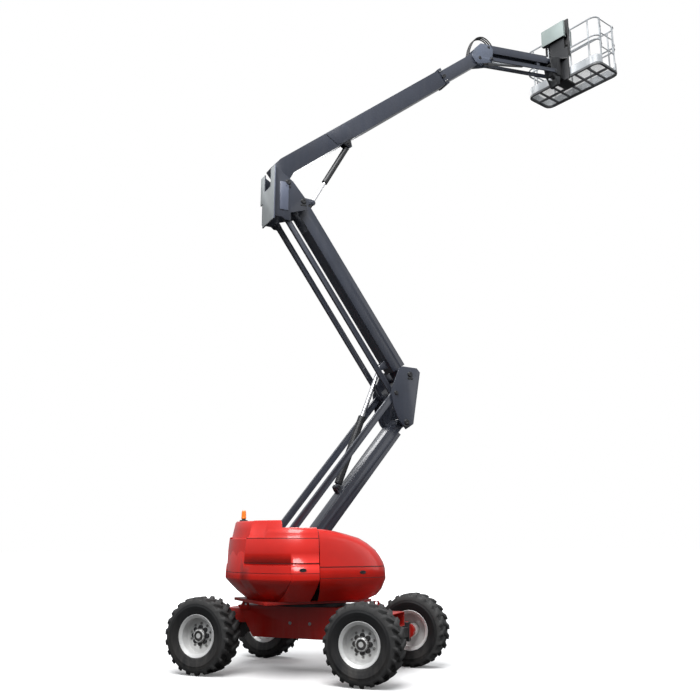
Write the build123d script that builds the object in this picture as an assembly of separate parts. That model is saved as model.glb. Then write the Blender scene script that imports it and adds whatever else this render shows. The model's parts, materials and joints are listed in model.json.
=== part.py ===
from build123d import *
from math import atan2, cos, degrees, hypot, pi, radians, sin
import os

# Articulating boom lift, in millimetres.
# Machine frame: slew axis on Z, ground at z = 0, +X along the boom's reach, +Y to the left.
# The undercarriage stands turned under it by SLEW. Every node is moved by ORIGIN_SHIFT at the
# end, so that the row's origin is on the ground under the middle of the whole machine.

# ---- stance -------------------------------------------------------------------------------
SLEW = 50.5                     # boom's azimuth, counted from the undercarriage's long axis
BASKET_YAW = 12.0               # platform's turn about its rotator, counted from the boom

# ---- undercarriage ------------------------------------------------------------------------
WHEELBASE = 2530.0
TRACK = 1950.0
TYRE_R = 537.5                  # out to the lugs' tips
TYRE_WIDTH = 400.0
BEAD_R = 262.0                  # where the tyre sits on the rim
FLANGE_R = 296.0                # rim lip
KINGPIN_Y = 690.0               # kingpins' distance from the long axis
CHASSIS_TOP = 930.0
CHASSIS_BOTTOM = 490.0
CHASSIS_HALF_W = 455.0
CHASSIS_HALF_L = 1010.0         # along the top, over the end flanges
CHASSIS_FOOT_L = 740.0          # along the bottom
LUG_X, LUG_Y, LUG_Z = 865.0, 465.0, 946.0     # tie-down eyes, mirrored to all four corners
LUG_T, LUG_R = 20.0, 22.0
RING_TOP = 985.0
RING_R = 520.0

# ---- turret -------------------------------------------------------------------------------
BED_TOP = 1030.0
BED_LOW = 989.0
SLOT_HALF = 360.0               # half of the gap between the hoods, where the arms lie
CHEEK_T = 24.0
TAIL_R = 1290.0                 # the counterweight's swing
TURRET_HALF_W = 1100.0
SEAM_X = -370.0                 # joint between the tail and the nose hoods
SHELL_T = 7.0
COWL_TOP = 2045.0
LEDGE_TOP = 1915.0
RAISED_TOP = 2148.0

# ---- linkage pins, as (x, z) ---------------------------------------------------------------
LOWER_FOOT = (-550.0, 1190.0)
LOWER_HEAD = (1520.0, 3750.0)
ELBOW_MID = (1330.0, 4220.0)    # the links of both arms meet here
UPPER_FOOT = (1600.0, 4550.0)
UPPER_HEAD = (-330.0, 7280.0)
BOOM_FOOT = (-608.0, 7560.0)
BOOM_ANGLE = 38.8
LOWER_LINK_FOOT = (
    LOWER_FOOT[0] + ELBOW_MID[0] - LOWER_HEAD[0],
    LOWER_FOOT[1] + ELBOW_MID[1] - LOWER_HEAD[1],
)
UPPER_LINK_HEAD = (
    UPPER_HEAD[0] + ELBOW_MID[0] - UPPER_FOOT[0],
    UPPER_HEAD[1] + ELBOW_MID[1] - UPPER_FOOT[1],
)

PIN_R = 40.0
LINK_PIN_R = 30.0
PIN_GAP = 0.05                  # radial running clearance on every pin
SIDE_GAP = 6.0                  # between plates that turn beside each other

LOWER_ARM_H, LOWER_ARM_W = 225.0, 300.0
UPPER_ARM_H, UPPER_ARM_W = 262.0, 270.0
UPPER_FORK = 430.0              # length of the upper arm's forked head, back from its pin
UPPER_NEST = 430.0              # slot behind the fork, where the boom's cylinder lies when folded
ARM_WALL = 10.0
LOWER_LINK_Y, LOWER_LINK_T, LOWER_LINK_H = 270.0, 56.0, 105.0
UPPER_LINK_Y, UPPER_LINK_T, UPPER_LINK_H = 192.0, 46.0, 90.0
ELBOW_PLATE_Y = 318.0           # middle of each elbow plate
KNUCKLE_PLATE_Y = 242.0
PLATE_T = 22.0

# ---- telescopic boom, as distances along it from its foot pin and above that pin's line -------
BOOM_RISE = 263.0               # the boom's centre line above its foot pin
OUTER_END = 4322.0
OUTER_H, OUTER_W = 300.0, 240.0
INNER_H, INNER_W = 236.0, 180.0
INNER_START, INNER_END = 1220.0, 5262.0
BOOM_WALL = 8.0
HEAD_PIN = (5415.0, 227.0)      # pivot of the levelled jib base

# ---- jib and platform ----------------------------------------------------------------------
JIB_TOP_FOOT = (3690.0, 11425.0)
JIB_LOW_FOOT = (3740.0, 11165.0)
JIB_TOP_HEAD = (5320.0, 11638.0)
JIB_LOW_HEAD = (
    JIB_LOW_FOOT[0] + JIB_TOP_HEAD[0] - JIB_TOP_FOOT[0],
    JIB_LOW_FOOT[1] + JIB_TOP_HEAD[1] - JIB_TOP_FOOT[1],
)
JIB_H, JIB_W = 168.0, 130.0
JIB_CHEEK_Y = 58.0              # middle of the cheeks at the jib arm's foot
JIB_PLATE_Y, JIB_PLATE_T = 104.0, 16.0
JIB_LINK_Y, JIB_LINK_T, JIB_LINK_H = 130.0, 22.0, 80.0
JIB_PIN_R = 24.0
ROTATOR_X = 5505.0
ROTATOR_R = 105.0
ROTATOR_LOW, ROTATOR_HIGH = 11330.0, 11740.0
BASKET_L, BASKET_W, BASKET_H = 1820.0, 750.0, 1100.0
BASKET_FLOOR_Z = 11320.0
BASKET_GAP = 185.0              # from the rotator's axis to the platform's near side
RAIL_R = 17.0
FLOOR_TOP = 54.0                # tread sheet, over the bottom of its frame

# ---- hydraulic cylinders: pin on the barrel, pin on the rod ----------------------------------
ARM_CYL = ((415.0, 2680.0), (1206.0, 4678.0))
BOOM_CYL = ((601.0, 8600.0), (-85.0, 7375.0))
JIB_CYL = ((3670.0, 11130.0), (5000.0, 11440.0))

ORIGIN_SHIFT = -2278.0          # from the slew axis to the row's origin, along the boom


# ---- helpers --------------------------------------------------------------------------------
def save(name, shape):
    """Write one node, moved to the row's origin."""
    os.makedirs("parts", exist_ok=True)
    export_step(Pos(ORIGIN_SHIFT, 0, 0) * shape, f"parts/{name}.step")


def under(shape):
    """Turn a shape from the undercarriage's own frame into the machine's."""
    return Rot(0, 0, -SLEW) * shape


def add(*points):
    """Sum of (x, z) points."""
    return (sum(p[0] for p in points), sum(p[1] for p in points))


def angle_of(start, end):
    return degrees(atan2(end[1] - start[1], end[0] - start[0]))


def span(start, end):
    return hypot(end[0] - start[0], end[1] - start[1])


def at(point, angle, y=0.0):
    """Local frame in the boom's plane: X along the member, Z above it."""
    return Pos(point[0], y, point[1]) * Rot(0, -angle, 0)


def block(x0, x1, y0, y1, z0, z1):
    return Pos((x0 + x1) / 2, (y0 + y1) / 2, (z0 + z1) / 2) * Box(x1 - x0, y1 - y0, z1 - z0)


def pin(point, radius, y0, y1):
    """Round bar across the machine from y0 to y1."""
    return Pos(point[0], (y0 + y1) / 2, point[1]) * Rot(90, 0, 0) * Cylinder(radius, y1 - y0)


def plate(points, y, thickness, corner=0.0):
    """Flat plate in the boom's plane, centred on y, with rounded corners."""
    outline = make_face(Polyline(*points, close=True))
    if corner:
        outline = fillet(outline.vertices(), corner)
    return extrude(Plane.XZ.offset(-y) * outline, amount=thickness / 2, both=True)


def disc(radius, length, sides=12):
    """Prism with flat sides about local Y, as wide across its corners as twice the radius."""
    return extrude(Plane.XZ * RegularPolygon(radius, sides), amount=length / 2, both=True)


def flat(*points):
    return Face(Wire.make_polygon([Vector(*p) for p in points], close=True))


def closed(faces):
    """Solid inside a closed set of flat faces."""
    solid = Solid(Shell(faces))
    return solid if solid.volume > 0 else -solid


def stack(rings):
    """Solid whose flat sides join outlines with the same number of corners, one above the other."""
    faces = [flat(*reversed(rings[0])), flat(*rings[-1])]
    for low, high in zip(rings, rings[1:]):
        for i, corner in enumerate(low):
            j = (i + 1) % len(low)
            faces.append(flat(corner, low[j], high[j], high[i]))
    return closed(faces)


def turned(profile, sides):
    """Faceted solid of revolution about Z from an open (r, z) profile that starts and ends on it."""
    step = 2 * pi / sides
    rings = [[(r * cos(i * step), r * sin(i * step), z) for i in range(sides)] for r, z in profile[1:-1]]
    return stack(rings)


def moved(outline, insets):
    """Counter-clockwise outline with each edge shifted inwards by its own inset."""
    lines = []
    for (x0, y0), (x1, y1), inset in zip(outline, outline[1:] + outline[:1], insets):
        length = hypot(x1 - x0, y1 - y0)
        nx, ny = (y1 - y0) / length, (x0 - x1) / length
        lines.append((nx, ny, nx * x0 + ny * y0 - inset))
    corners = []
    for (a0, b0, c0), (a1, b1, c1) in zip(lines[-1:] + lines[:-1], lines):
        det = a0 * b1 - a1 * b0
        corners.append(((c0 * b1 - c1 * b0) / det, (a0 * c1 - a1 * c0) / det))
    return corners


def tube_ring(path, radius, z):
    """Octagonal rail along a closed level path, mitred at its corners."""
    rings = []
    for before, here, after in zip(path[-1:] + path[:-1], path, path[1:] + path[:1]):
        d0 = Vector(here[0] - before[0], here[1] - before[1]).normalized()
        d1 = Vector(after[0] - here[0], after[1] - here[1]).normalized()
        out = Vector(d0.Y + d1.Y, -d0.X - d1.X).normalized()
        reach = 1 / Vector(d0.Y, -d0.X).dot(out)
        ring = []
        for k in range(8):
            a = radians(22.5 + 45 * k)
            u = radius * cos(a) * reach
            ring.append((here[0] + out.X * u, here[1] + out.Y * u, z + radius * sin(a)))
        rings.append(ring)
    faces = []
    for ring, following in zip(rings, rings[1:] + rings[:1]):
        for k in range(8):
            faces.append(flat(ring[k], following[k], following[k - 7], ring[k - 7]))
    return closed(faces)


def pair(shape):
    """A shape and its twin on the other side of the boom's plane."""
    return shape + mirror(shape, Plane.XZ)


def tube(x0, x1, height, width, wall, rise=0.0):
    """Closed rectangular tube along local X."""
    outer = Pos((x0 + x1) / 2, 0, rise) * Box(x1 - x0, width, height)
    inner = Pos((x0 + x1) / 2, 0, rise) * Box(x1 - x0 - 2 * wall, width - 2 * wall, height - 2 * wall)
    return outer - inner


def open_tube(x0, x1, height, width, wall, rise=0.0):
    """Rectangular tube along local X, open at both ends."""
    outer = Pos((x0 + x1) / 2, 0, rise) * Box(x1 - x0, width, height)
    inner = Pos((x0 + x1) / 2, 0, rise) * Box(x1 - x0 + 2, width - 2 * wall, height - 2 * wall)
    return outer - inner


def eye_bar(start, end, y, thickness, height, bore, eye_r):
    """Flat bar between two pins, with a bored eye at each end."""
    length = span(start, end)
    h, tip = height / 2, eye_r * 0.42
    outline = [
        (-eye_r, -tip),
        (-tip, -eye_r),
        (eye_r * 1.3, -h),
        (length - eye_r * 1.3, -h),
        (length + tip, -eye_r),
        (length + eye_r, -tip),
        (length + eye_r, tip),
        (length + tip, eye_r),
        (length - eye_r * 1.3, h),
        (eye_r * 1.3, h),
        (-tip, eye_r),
        (-eye_r, tip),
    ]
    solid = plate(outline, 0, thickness)
    for x in (0, length):
        solid -= Pos(x, 0, 0) * Rot(90, 0, 0) * Cylinder(bore, thickness + 2)
    return at(start, angle_of(start, end), y) * solid


# ---- undercarriage ----------------------------------------------------------------------------
def chassis_frame():
    wall = 12.0
    side = [
        (-CHASSIS_FOOT_L, CHASSIS_BOTTOM),
        (CHASSIS_FOOT_L, CHASSIS_BOTTOM),
        (CHASSIS_HALF_L, CHASSIS_TOP),
        (-CHASSIS_HALF_L, CHASSIS_TOP),
    ]
    inset = [
        (-CHASSIS_FOOT_L + wall, CHASSIS_BOTTOM + wall),
        (CHASSIS_FOOT_L - wall, CHASSIS_BOTTOM + wall),
        (CHASSIS_HALF_L - 2 * wall, CHASSIS_TOP - wall),
        (-CHASSIS_HALF_L + 2 * wall, CHASSIS_TOP - wall),
    ]
    frame = plate(side, 0, 2 * CHASSIS_HALF_W) - plate(inset, 0, 2 * (CHASSIS_HALF_W - wall))
    for end in (-1, 1):
        x0, x1 = sorted((end * (CHASSIS_HALF_L - 90), end * (WHEELBASE / 2 + 130)))
        frame += block(x0, x1, -240, 240, 660, 860) - block(x0 - 1, x1 + 1, -225, 225, 675, 845)
        for side_sign in (-1, 1):
            lug = plate(
                [
                    (end * 800, CHASSIS_TOP - 60),
                    (end * 815, CHASSIS_TOP + 48),
                    (end * 905, CHASSIS_TOP + 48),
                    (end * 960, CHASSIS_TOP - 60),
                ],
                side_sign * LUG_Y,
                LUG_T,
            )
            frame += lug - pin((end * LUG_X, LUG_Z), LUG_R, -600, 600)
    return frame


def slew_ring():
    ring = Pos(0, 0, (CHASSIS_TOP + RING_TOP) / 2) * Cylinder(RING_R, RING_TOP - CHASSIS_TOP)
    return ring - Pos(0, 0, CHASSIS_TOP) * extrude(RegularPolygon(RING_R - 90, 24), amount=200)


AXLE_Z = TYRE_R
YOKE_Z = 120.0                  # yoke plates above and below the axle's centre


def axle(end):
    """Drive axle with its middle casing and a yoke at each end for the kingpins."""
    x = end * WHEELBASE / 2
    beam = Pos(x, 0, AXLE_Z) * (Box(130, 1200, 130) - Box(100, 1210, 100))
    beam += Pos(x, 0, AXLE_Z) * Rot(0, 0, 90) * disc(125, 200, 10)
    beam += block(x - 90, x + 90, -120, 120, AXLE_Z + 60, 660)
    for sign in (-1, 1):
        beam += Pos(x, sign * 595, AXLE_Z) * Box(150, 30, 2 * YOKE_Z + 30)
        for level in (-1, 1):
            z = AXLE_Z + level * YOKE_Z
            lip = [(x - 60, 600), (x + 60, 600), (x + 60, 705), (x + 30, 750), (x - 30, 750), (x - 60, 705)]
            lip = extrude(make_face(Polyline(*[(a, sign * b) for a, b in lip], close=True)), amount=15, both=True)
            beam += Pos(0, 0, z) * lip
            beam -= Pos(x, sign * KINGPIN_Y, z) * Cylinder(LINK_PIN_R + PIN_GAP, 40)
    return beam


def steer_knuckle(end, sign):
    """Kingpin, hub carrier and spindle of one wheel."""
    x = end * WHEELBASE / 2
    core = 2 * YOKE_Z - 30 - 2 * SIDE_GAP
    body = Pos(x, sign * KINGPIN_Y, AXLE_Z) * Rot(90, 0, 0) * disc(60, core, 10)
    body += Pos(x, sign * KINGPIN_Y, AXLE_Z) * Cylinder(LINK_PIN_R, 2 * YOKE_Z + 34)
    body += Pos(x, sign * 770, AXLE_Z) * disc(102, 80)
    body += Pos(x, sign * (775 + 95), AXLE_Z) * Rot(90, 0, 0) * Cylinder(55, 190)
    return body


def wheel_at(end, sign):
    """Frame at a wheel's centre with local Z pointing outwards along the spin axis."""
    return Pos(end * WHEELBASE / 2, sign * TRACK / 2, AXLE_Z) * Rot(-90 * sign, 0, 0)


RIM_SIDES = 28
TYRE_SIDES = 44                 # two for each lug of one side
GROOVE_R = 500.0                # between the lugs


def rim(end, sign):
    """Deep-dished wheel with its hub, faceted like the tyre that sits on it."""
    profile = [
        (0, -70),
        (97, -70),
        (97, 30),
        (250, 2),
        (250, -152),
        (291, -176),
        (FLANGE_R, -171),
        (BEAD_R, -149),
        (BEAD_R, 149),
        (FLANGE_R, 171),
        (291, 176),
        (250, 152),
        (250, 22),
        (205, 24),
        (98, 56),
        (95, 98),
        (64, 116),
        (0, 116),
    ]
    bore = Pos(0, 0, -60) * Cylinder(55 + PIN_GAP, 180)
    return wheel_at(end, sign) * (turned(profile, RIM_SIDES) - bore)


def ring_at(radius, z, phase=0.0):
    """Corners of the tyre's outline at one level."""
    step = 2 * pi / TYRE_SIDES
    return [(radius * cos((i + phase) * step), radius * sin((i + phase) * step), z) for i in range(TYRE_SIDES)]


def lug_faces(inner, outer, foot, first, flip):
    """Tread of one side: a slanted lug over every second sector, grooves between them."""
    faces = []
    side = 1 if flip else -1
    draft = 0.11
    for i in range(TYRE_SIDES):
        j = (i + 1) % TYRE_SIDES
        base = [inner[i], inner[j], outer[j], outer[i]]
        if i % 2 != first:
            faces += [(base[0], base[1], base[2]), (base[0], base[2], base[3])]
            faces.append((outer[i], outer[j], foot[j], foot[i]))
            continue
        top = []
        for corner, other, z_in in ((0, 1, 10), (1, 0, 10), (2, 3, -14), (3, 2, -14)):
            x, y, z = [p + draft * (q - p) for p, q in zip(base[corner], base[other])]
            scale = (TYRE_R - 1) / hypot(x, y)
            z_top = z - side * z_in
            top.append((x * scale, y * scale, z_top))
        faces += [(top[0], top[1], top[2]), (top[0], top[2], top[3])]
        faces += [(base[0], base[1], top[1]), (base[0], top[1], top[0])]
        faces += [(top[3], top[2], foot[j]), (top[3], foot[j], foot[i])]
        faces += [(base[0], top[0], top[3]), (base[0], top[3], base[3]), (base[3], top[3], foot[i])]
        faces += [(base[1], base[2], top[2]), (base[1], top[2], top[1]), (base[2], foot[j], top[2])]
    return faces


def tyre(end, sign):
    half = TYRE_WIDTH / 2
    inner = [ring_at(GROOVE_R, side * 12) for side in (-1, 1)]
    outer = [ring_at(GROOVE_R, side * 182, 1) for side in (-1, 1)]
    shoulder = [ring_at(455, side * (half - 3), 1) for side in (-1, 1)]
    rings = [
        ring_at(385, half, 1),
        ring_at(FLANGE_R + 6, half - 30, 1),
        ring_at(BEAD_R + 3, 148, 1),
        ring_at(BEAD_R + 3, -148, 1),
        ring_at(FLANGE_R + 6, 30 - half, 1),
        ring_at(385, -half, 1),
    ]
    faces = []
    for low, high in zip([shoulder[1]] + rings, rings + [shoulder[0]]):
        for i in range(TYRE_SIDES):
            j = (i + 1) % TYRE_SIDES
            faces.append((low[i], low[j], high[j], high[i]))
    for i in range(TYRE_SIDES):
        j = (i + 1) % TYRE_SIDES
        faces.append((inner[0][i], inner[0][j], inner[1][j], inner[1][i]))
    faces += lug_faces(inner[1], outer[1], shoulder[1], 0, False)
    faces += lug_faces(inner[0], outer[0], shoulder[0], 1, True)
    return wheel_at(end, sign) * closed([flat(*face) for face in faces])


# ---- turret -------------------------------------------------------------------------------
TAIL_Y0 = SLOT_HALF + 8


def turret_frame():
    bed = block(-1000, 680, -640, 640, BED_LOW, BED_TOP)
    bed += Pos(0, 0, RING_TOP + 0.5) * extrude(RegularPolygon(RING_R - 110, 24), amount=20)
    cheek = [
        (-830, BED_TOP - 10),
        (420, BED_TOP - 10),
        (200, 1330),
        (-380, 1560),
        (-640, 1800),
        (-830, 1800),
    ]
    y = SLOT_HALF - CHEEK_T / 2
    bed += pair(plate(cheek, y, CHEEK_T))
    bed += pin(LOWER_FOOT, PIN_R, -y, y)
    stub = pin(LOWER_LINK_FOOT, LINK_PIN_R, LOWER_LINK_Y - LOWER_LINK_T / 2 - 10, y)
    return bed + pair(stub)


def tail_outline(y0=TAIL_Y0, x_front=SEAM_X - 5):
    """Plan of one side of the tail: flat flank, rounded corner and the arc of the swing."""
    corner_r = 500.0
    cy = TURRET_HALF_W - corner_r
    cx = -(((TAIL_R - corner_r) ** 2 - cy ** 2) ** 0.5)
    meet = degrees(atan2(cy, cx))
    points = [(x_front, TURRET_HALF_W)]
    for k in range(6):
        a = radians(90 + (meet - 90) * k / 5)
        points.append((cx + corner_r * cos(a), cy + corner_r * sin(a)))
    last = degrees(atan2(y0, -TAIL_R))
    for k in range(1, 5):
        a = radians(meet + (last - meet) * k / 4)
        points.append((TAIL_R * cos(a), TAIL_R * sin(a)))
    points[-1] = (points[-1][0], y0)
    points.append((x_front, y0))
    return points


def layers(outline, levels, still=2):
    """Outline carried up through (z, inset) levels; its last edges stay where they are."""
    rings = []
    for z, inset in levels:
        insets = [inset] * (len(outline) - still) + [0.0] * still
        rings.append([(x, y, z) for x, y in moved(outline, insets)])
    return stack(rings)


# heights and insets of the tail's skin: cast part, lower cowl, and the cowl's domed top
CAST_LEVELS = [(BED_TOP, 323), (1150, 172), (1260, 64), (1325, 4), (1345, 0), (1400, 0), (1530, 10)]
COWL_LEVELS = [(1530, 20), (1700, 26), (1900, 44), (LEDGE_TOP, 56)]
DOME_LEVELS = [(1900, 50), (1960, 60), (2010, 85), (COWL_TOP, 120)]
INNER_LEVELS = [(BED_TOP - 1, 333), (1150, 182), (1260, 74), (1330, 12), (1540, 30), (1890, 60), (2036, 134)]


def counterweight():
    """Rounded cast tail that joins both sides behind the arms' slot."""
    side = layers(tail_outline(), CAST_LEVELS) & block(-2000, -770, 0, 2000, 0, 3000)
    rear = layers(tail_outline(0), CAST_LEVELS + [(1700, 22), (1750, 40)])
    rear = rear & block(-2000, -870, -10, TAIL_Y0, 0, 3000)
    return pair(side) + pair(rear)


def tail_side():
    """Painted cover over the left side of the tail, with its raised box."""
    lower = layers(tail_outline(), CAST_LEVELS) & block(-769.5, 500, 0, 2000, 0, 3000)
    cover = lower + layers(tail_outline(), COWL_LEVELS)
    rear_edge = plate([(-1048, 1900), (-355, 1900), (-355, 2100), (-935, 2100)], 1000, 2000)
    cover += layers(tail_outline(), DOME_LEVELS) & rear_edge
    room = layers(tail_outline(TAIL_Y0 + SHELL_T, 0.0), INNER_LEVELS)
    cover -= room & block(-760, 500, 0, 2000, 1000, 1560)
    cover -= room & block(-2000, 500, 0, 2000, 1540, 1890)
    cover -= room & plate([(-1015, 1880), (-355, 1880), (-355, 2100), (-900, 2100)], 1000, 2000)
    box = layers(tail_outline(), [(1880, 72), (2020, 101), (2125, 123), (RAISED_TOP, 145)])
    return cover + (box & block(-2000, -835, 0, 2000, 1892, 3000))


def tail_cowls():
    return pair(tail_side())


# heights of the nose hoods' skin, with the side's inset and the front's x
NOSE_LEVELS = [
    (BED_TOP, 323, 700),
    (1090, 247, 816),
    (1180, 143, 844),
    (1333, 0, 834),
    (1480, 8, 828),
    (1560, 14, 803),
    (1650, 20, 748),
    (1731, 27, 682),
    (1832, 38, 547),
    (1904, 49, 414),
    (1960, 65, 213),
    (2000, 85, 43),
    (2025, 105, -130),
]


def nose_form(grow=0.0, y0=TAIL_Y0):
    """One side's nose: rounded corner in plan, sloping down to the front; grow < 0 for the inside."""
    x0, corner_r = -800.0, 400.0
    points = [(x0, y0)]
    for k in range(7):
        a = radians(-90 + 30 * k) if k < 1 else radians(90 * (k - 1) / 5)
        points.append((844 - corner_r + corner_r * cos(a), TURRET_HALF_W - corner_r + corner_r * sin(a)))
    points[1] = (844, y0)
    points.append((x0, TURRET_HALF_W))
    rings = []
    for z, side, front in NOSE_LEVELS:
        back = 844 - front
        insets = [0.0]
        for k in range(1, len(points) - 1):
            dx, dy = points[k + 1][0] - points[k][0], points[k + 1][1] - points[k][1]
            length = hypot(dx, dy)
            insets.append(back * dy / length + side * -dx / length - grow)
        insets.append(0.0)
        rings.append([(x, y, z) for x, y in moved(points, insets)])
    return stack(rings)


def nose_hood(sign):
    """Hollow hood, open below, towards the arms' slot and at its seam with the tail."""
    low = block(-2000, 2000, 0, 3000, BED_TOP - 5, 2014)
    room = nose_form(-SHELL_T - 2, TAIL_Y0 - 20) & low
    shell = (nose_form() - room) & block(SEAM_X + 5, 2000, 0, 3000, 0, 3000)
    slant = [(SEAM_X - 50, 1000), (SEAM_X + 130, 1000), (SEAM_X + 5, 1330), (SEAM_X - 50, 1330)]
    shell -= plate(slant, 1000, 3000)
    return shell if sign > 0 else mirror(shell, Plane.XZ)


def beacon():
    """Amber lamp on its socket, on the left raised box."""
    x, y = -945, 470
    lamp = Pos(x, y, RAISED_TOP + 0.5) * extrude(RegularPolygon(64, 16), amount=40)
    rings = []
    for z, radius in ((40, 57), (130, 57), (160, 48), (176, 28)):
        ring = [(radius * cos(pi * k / 8), radius * sin(pi * k / 8), z) for k in range(16)]
        rings.append(ring)
    return lamp + Pos(x, y, RAISED_TOP) * stack(rings)


def engine_block():
    return block(-250, 400, -860, -430, 1190, 1720) + block(-200, 350, -620, -430, BED_TOP + 0.5, 1191)


# ---- arms -----------------------------------------------------------------------------------
def arm_tube(start, end, height, width, clear_start, clear_end):
    """Box arm whose closed tube stops short of the pins, with plain bored eyes at both ends."""
    length = span(start, end)
    solid = tube(clear_start, length - clear_end, height, width, ARM_WALL)
    for x, inner in ((0, clear_start), (length, length - clear_end)):
        solid += Pos((x + inner) / 2, 0, 0) * Box(abs(x - inner) + 20, width, 120)
        solid += Pos(x, 0, 0) * disc(76, width)
    for x in (0, length):
        solid -= Pos(x, 0, 0) * Rot(90, 0, 0) * Cylinder(PIN_R + PIN_GAP, width + 2)
    return at(start, angle_of(start, end)) * solid


def local(start, end, point):
    """(along, above) of a point in a member's own frame."""
    a = radians(angle_of(start, end))
    dx, dz = point[0] - start[0], point[1] - start[1]
    return (dx * cos(a) + dz * sin(a), -dx * sin(a) + dz * cos(a))


def ears(start, angle, point, root_above, half_gap, thickness, radius, y=0.0):
    """Two ears from a member's face at root_above to a pin at point, both in the member's frame."""
    along, above = point
    sign = 1 if above > root_above else -1
    tip = above + sign * radius
    outline = [
        (along - 1.5 * radius, root_above),
        (along + 1.5 * radius, root_above),
        (along + radius, above),
        (along + radius * 0.5, tip),
        (along - radius * 0.5, tip),
        (along - radius, above),
    ]
    offset = half_gap + thickness / 2
    both = plate(outline, y - offset, thickness) + plate(outline, y + offset, thickness)
    return at(start, angle) * both


def lower_arm():
    arm = arm_tube(LOWER_FOOT, LOWER_HEAD, LOWER_ARM_H, LOWER_ARM_W, 150, 150)
    a = angle_of(LOWER_FOOT, LOWER_HEAD)
    point = local(LOWER_FOOT, LOWER_HEAD, ARM_CYL[0])
    arm += ears(LOWER_FOOT, a, point, LOWER_ARM_H / 2 - 5, 52, 16, 48)
    return arm + pin(ARM_CYL[0], LINK_PIN_R, -60, 60)


def lower_links():
    bar = eye_bar(LOWER_LINK_FOOT, ELBOW_MID, LOWER_LINK_Y, LOWER_LINK_T, LOWER_LINK_H, LINK_PIN_R + PIN_GAP, 58)
    return pair(bar)


def elbow_frame():
    outline = [
        (1507, 3630),
        (1650, 3725),
        (1795, 4600),
        (1735, 4665),
        (1462, 4675),
        (1390, 4630),
        (1245, 4270),
        (1255, 4140),
        (1285, 3976),
        (1384, 3764),
    ]
    frame = pair(plate(outline, ELBOW_PLATE_Y, PLATE_T))
    inner = ELBOW_PLATE_Y
    frame += pin(LOWER_HEAD, PIN_R, -inner, inner)
    frame += pin(UPPER_FOOT, PIN_R, -inner, inner)
    frame += pair(pin(ELBOW_MID, LINK_PIN_R, UPPER_LINK_Y - UPPER_LINK_T / 2 - 10, inner))
    frame += at((1692, 4120), 80.6) * Box(500, 2 * inner, 16)
    return frame


def upper_arm():
    """Upper riser arm: solid eye at the elbow, forked head that straddles the boom cylinder's foot."""
    length = span(UPPER_FOOT, UPPER_HEAD)
    fork_x = length - UPPER_FORK
    arm = tube(160, fork_x, UPPER_ARM_H, UPPER_ARM_W, ARM_WALL)
    nest_w, nest_deep = 124.0, 140.0
    back = -UPPER_ARM_H / 2
    arm -= Pos(fork_x - UPPER_NEST / 2 + 1, 0, back) * Box(UPPER_NEST, nest_w, 2 * ARM_WALL + 2)
    arm -= Pos(fork_x, 0, back + nest_deep / 2) * Box(4 * ARM_WALL, nest_w, nest_deep)
    arm += Pos(80, 0, 0) * Box(180, UPPER_ARM_W, 120) + disc(76, UPPER_ARM_W)
    arm -= Rot(90, 0, 0) * Cylinder(PIN_R + PIN_GAP, UPPER_ARM_W + 2)
    fork = [
        (fork_x - 5, -UPPER_ARM_H / 2),
        (length - 150, -UPPER_ARM_H / 2),
        (length - 20, -76),
        (length + 40, -66),
        (length + 76, -20),
        (length + 76, 20),
        (length + 40, 66),
        (length - 20, 76),
        (length - 150, UPPER_ARM_H / 2),
        (fork_x - 5, UPPER_ARM_H / 2),
    ]
    cheek = plate(fork, UPPER_ARM_W / 2 - 14, 28) - Pos(length, 0, 0) * Rot(90, 0, 0) * Cylinder(PIN_R + PIN_GAP, 500)
    arm = at(UPPER_FOOT, angle_of(UPPER_FOOT, UPPER_HEAD)) * (arm + pair(cheek))
    point = local(UPPER_FOOT, UPPER_HEAD, ARM_CYL[1])
    return arm + ears(UPPER_FOOT, angle_of(UPPER_FOOT, UPPER_HEAD), point, UPPER_ARM_H / 2 - 5, 52, 16, 48)


def upper_links():
    bar = eye_bar(ELBOW_MID, UPPER_LINK_HEAD, UPPER_LINK_Y, UPPER_LINK_T, UPPER_LINK_H, LINK_PIN_R + PIN_GAP, 52)
    return pair(bar)


def top_knuckle():
    """Head of the riser: side plates, rear plate and the inner ears of the boom cylinder."""
    outline = [
        (-862, 7790),
        (-820, 7790),
        (-520, 7590),
        (-225, 7255),
        (-262, 7185),
        (-300, 7128),
        (-556, 7040),
        (-552, 6925),
        (-580, 6900),
        (-650, 6900),
        (-700, 6940),
        (-862, 6940),
    ]
    y = KNUCKLE_PLATE_Y
    frame = pair(plate(outline, y, PLATE_T))
    rear = block(-872, -850, -310, 310, 6870, 7790) - block(-900, -800, -135, 135, 7480, 7800)
    rear -= block(-900, -800, 200, 320, 6800, 7300)
    frame += rear
    frame += pin(UPPER_HEAD, PIN_R, -y, y)
    frame += pin(BOOM_FOOT, PIN_R, -y, y)
    frame += pair(pin(UPPER_LINK_HEAD, LINK_PIN_R, UPPER_LINK_Y - UPPER_LINK_T / 2 - 10, y))
    frame += block(-520, -440, -y, y, 7372, 7432)
    ear = [
        (-500, 7374),
        (-430, 7374),
        (-250, 7346),
        (-110, 7326),
        (-60, 7326),
        (-36, 7360),
        (-36, 7392),
        (-60, 7424),
        (-430, 7438),
        (-500, 7430),
    ]
    frame += pair(plate(ear, 66, 16))
    pad = [(-752, 7065), (-600, 7065), (-600, 7550), (-752, 7550)]
    frame += pair(plate(pad, y + PLATE_T / 2 + 5, 10))
    return frame + pair(pin(BOOM_CYL[1], LINK_PIN_R, 70, 84))


ROD_SHARE = 0.6                 # rod radius over barrel radius


def along_x(x0, x1, radius):
    """Round bar along local X."""
    return Pos((x0 + x1) / 2, 0, 0) * Rot(0, 90, 0) * Cylinder(radius, x1 - x0)


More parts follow.
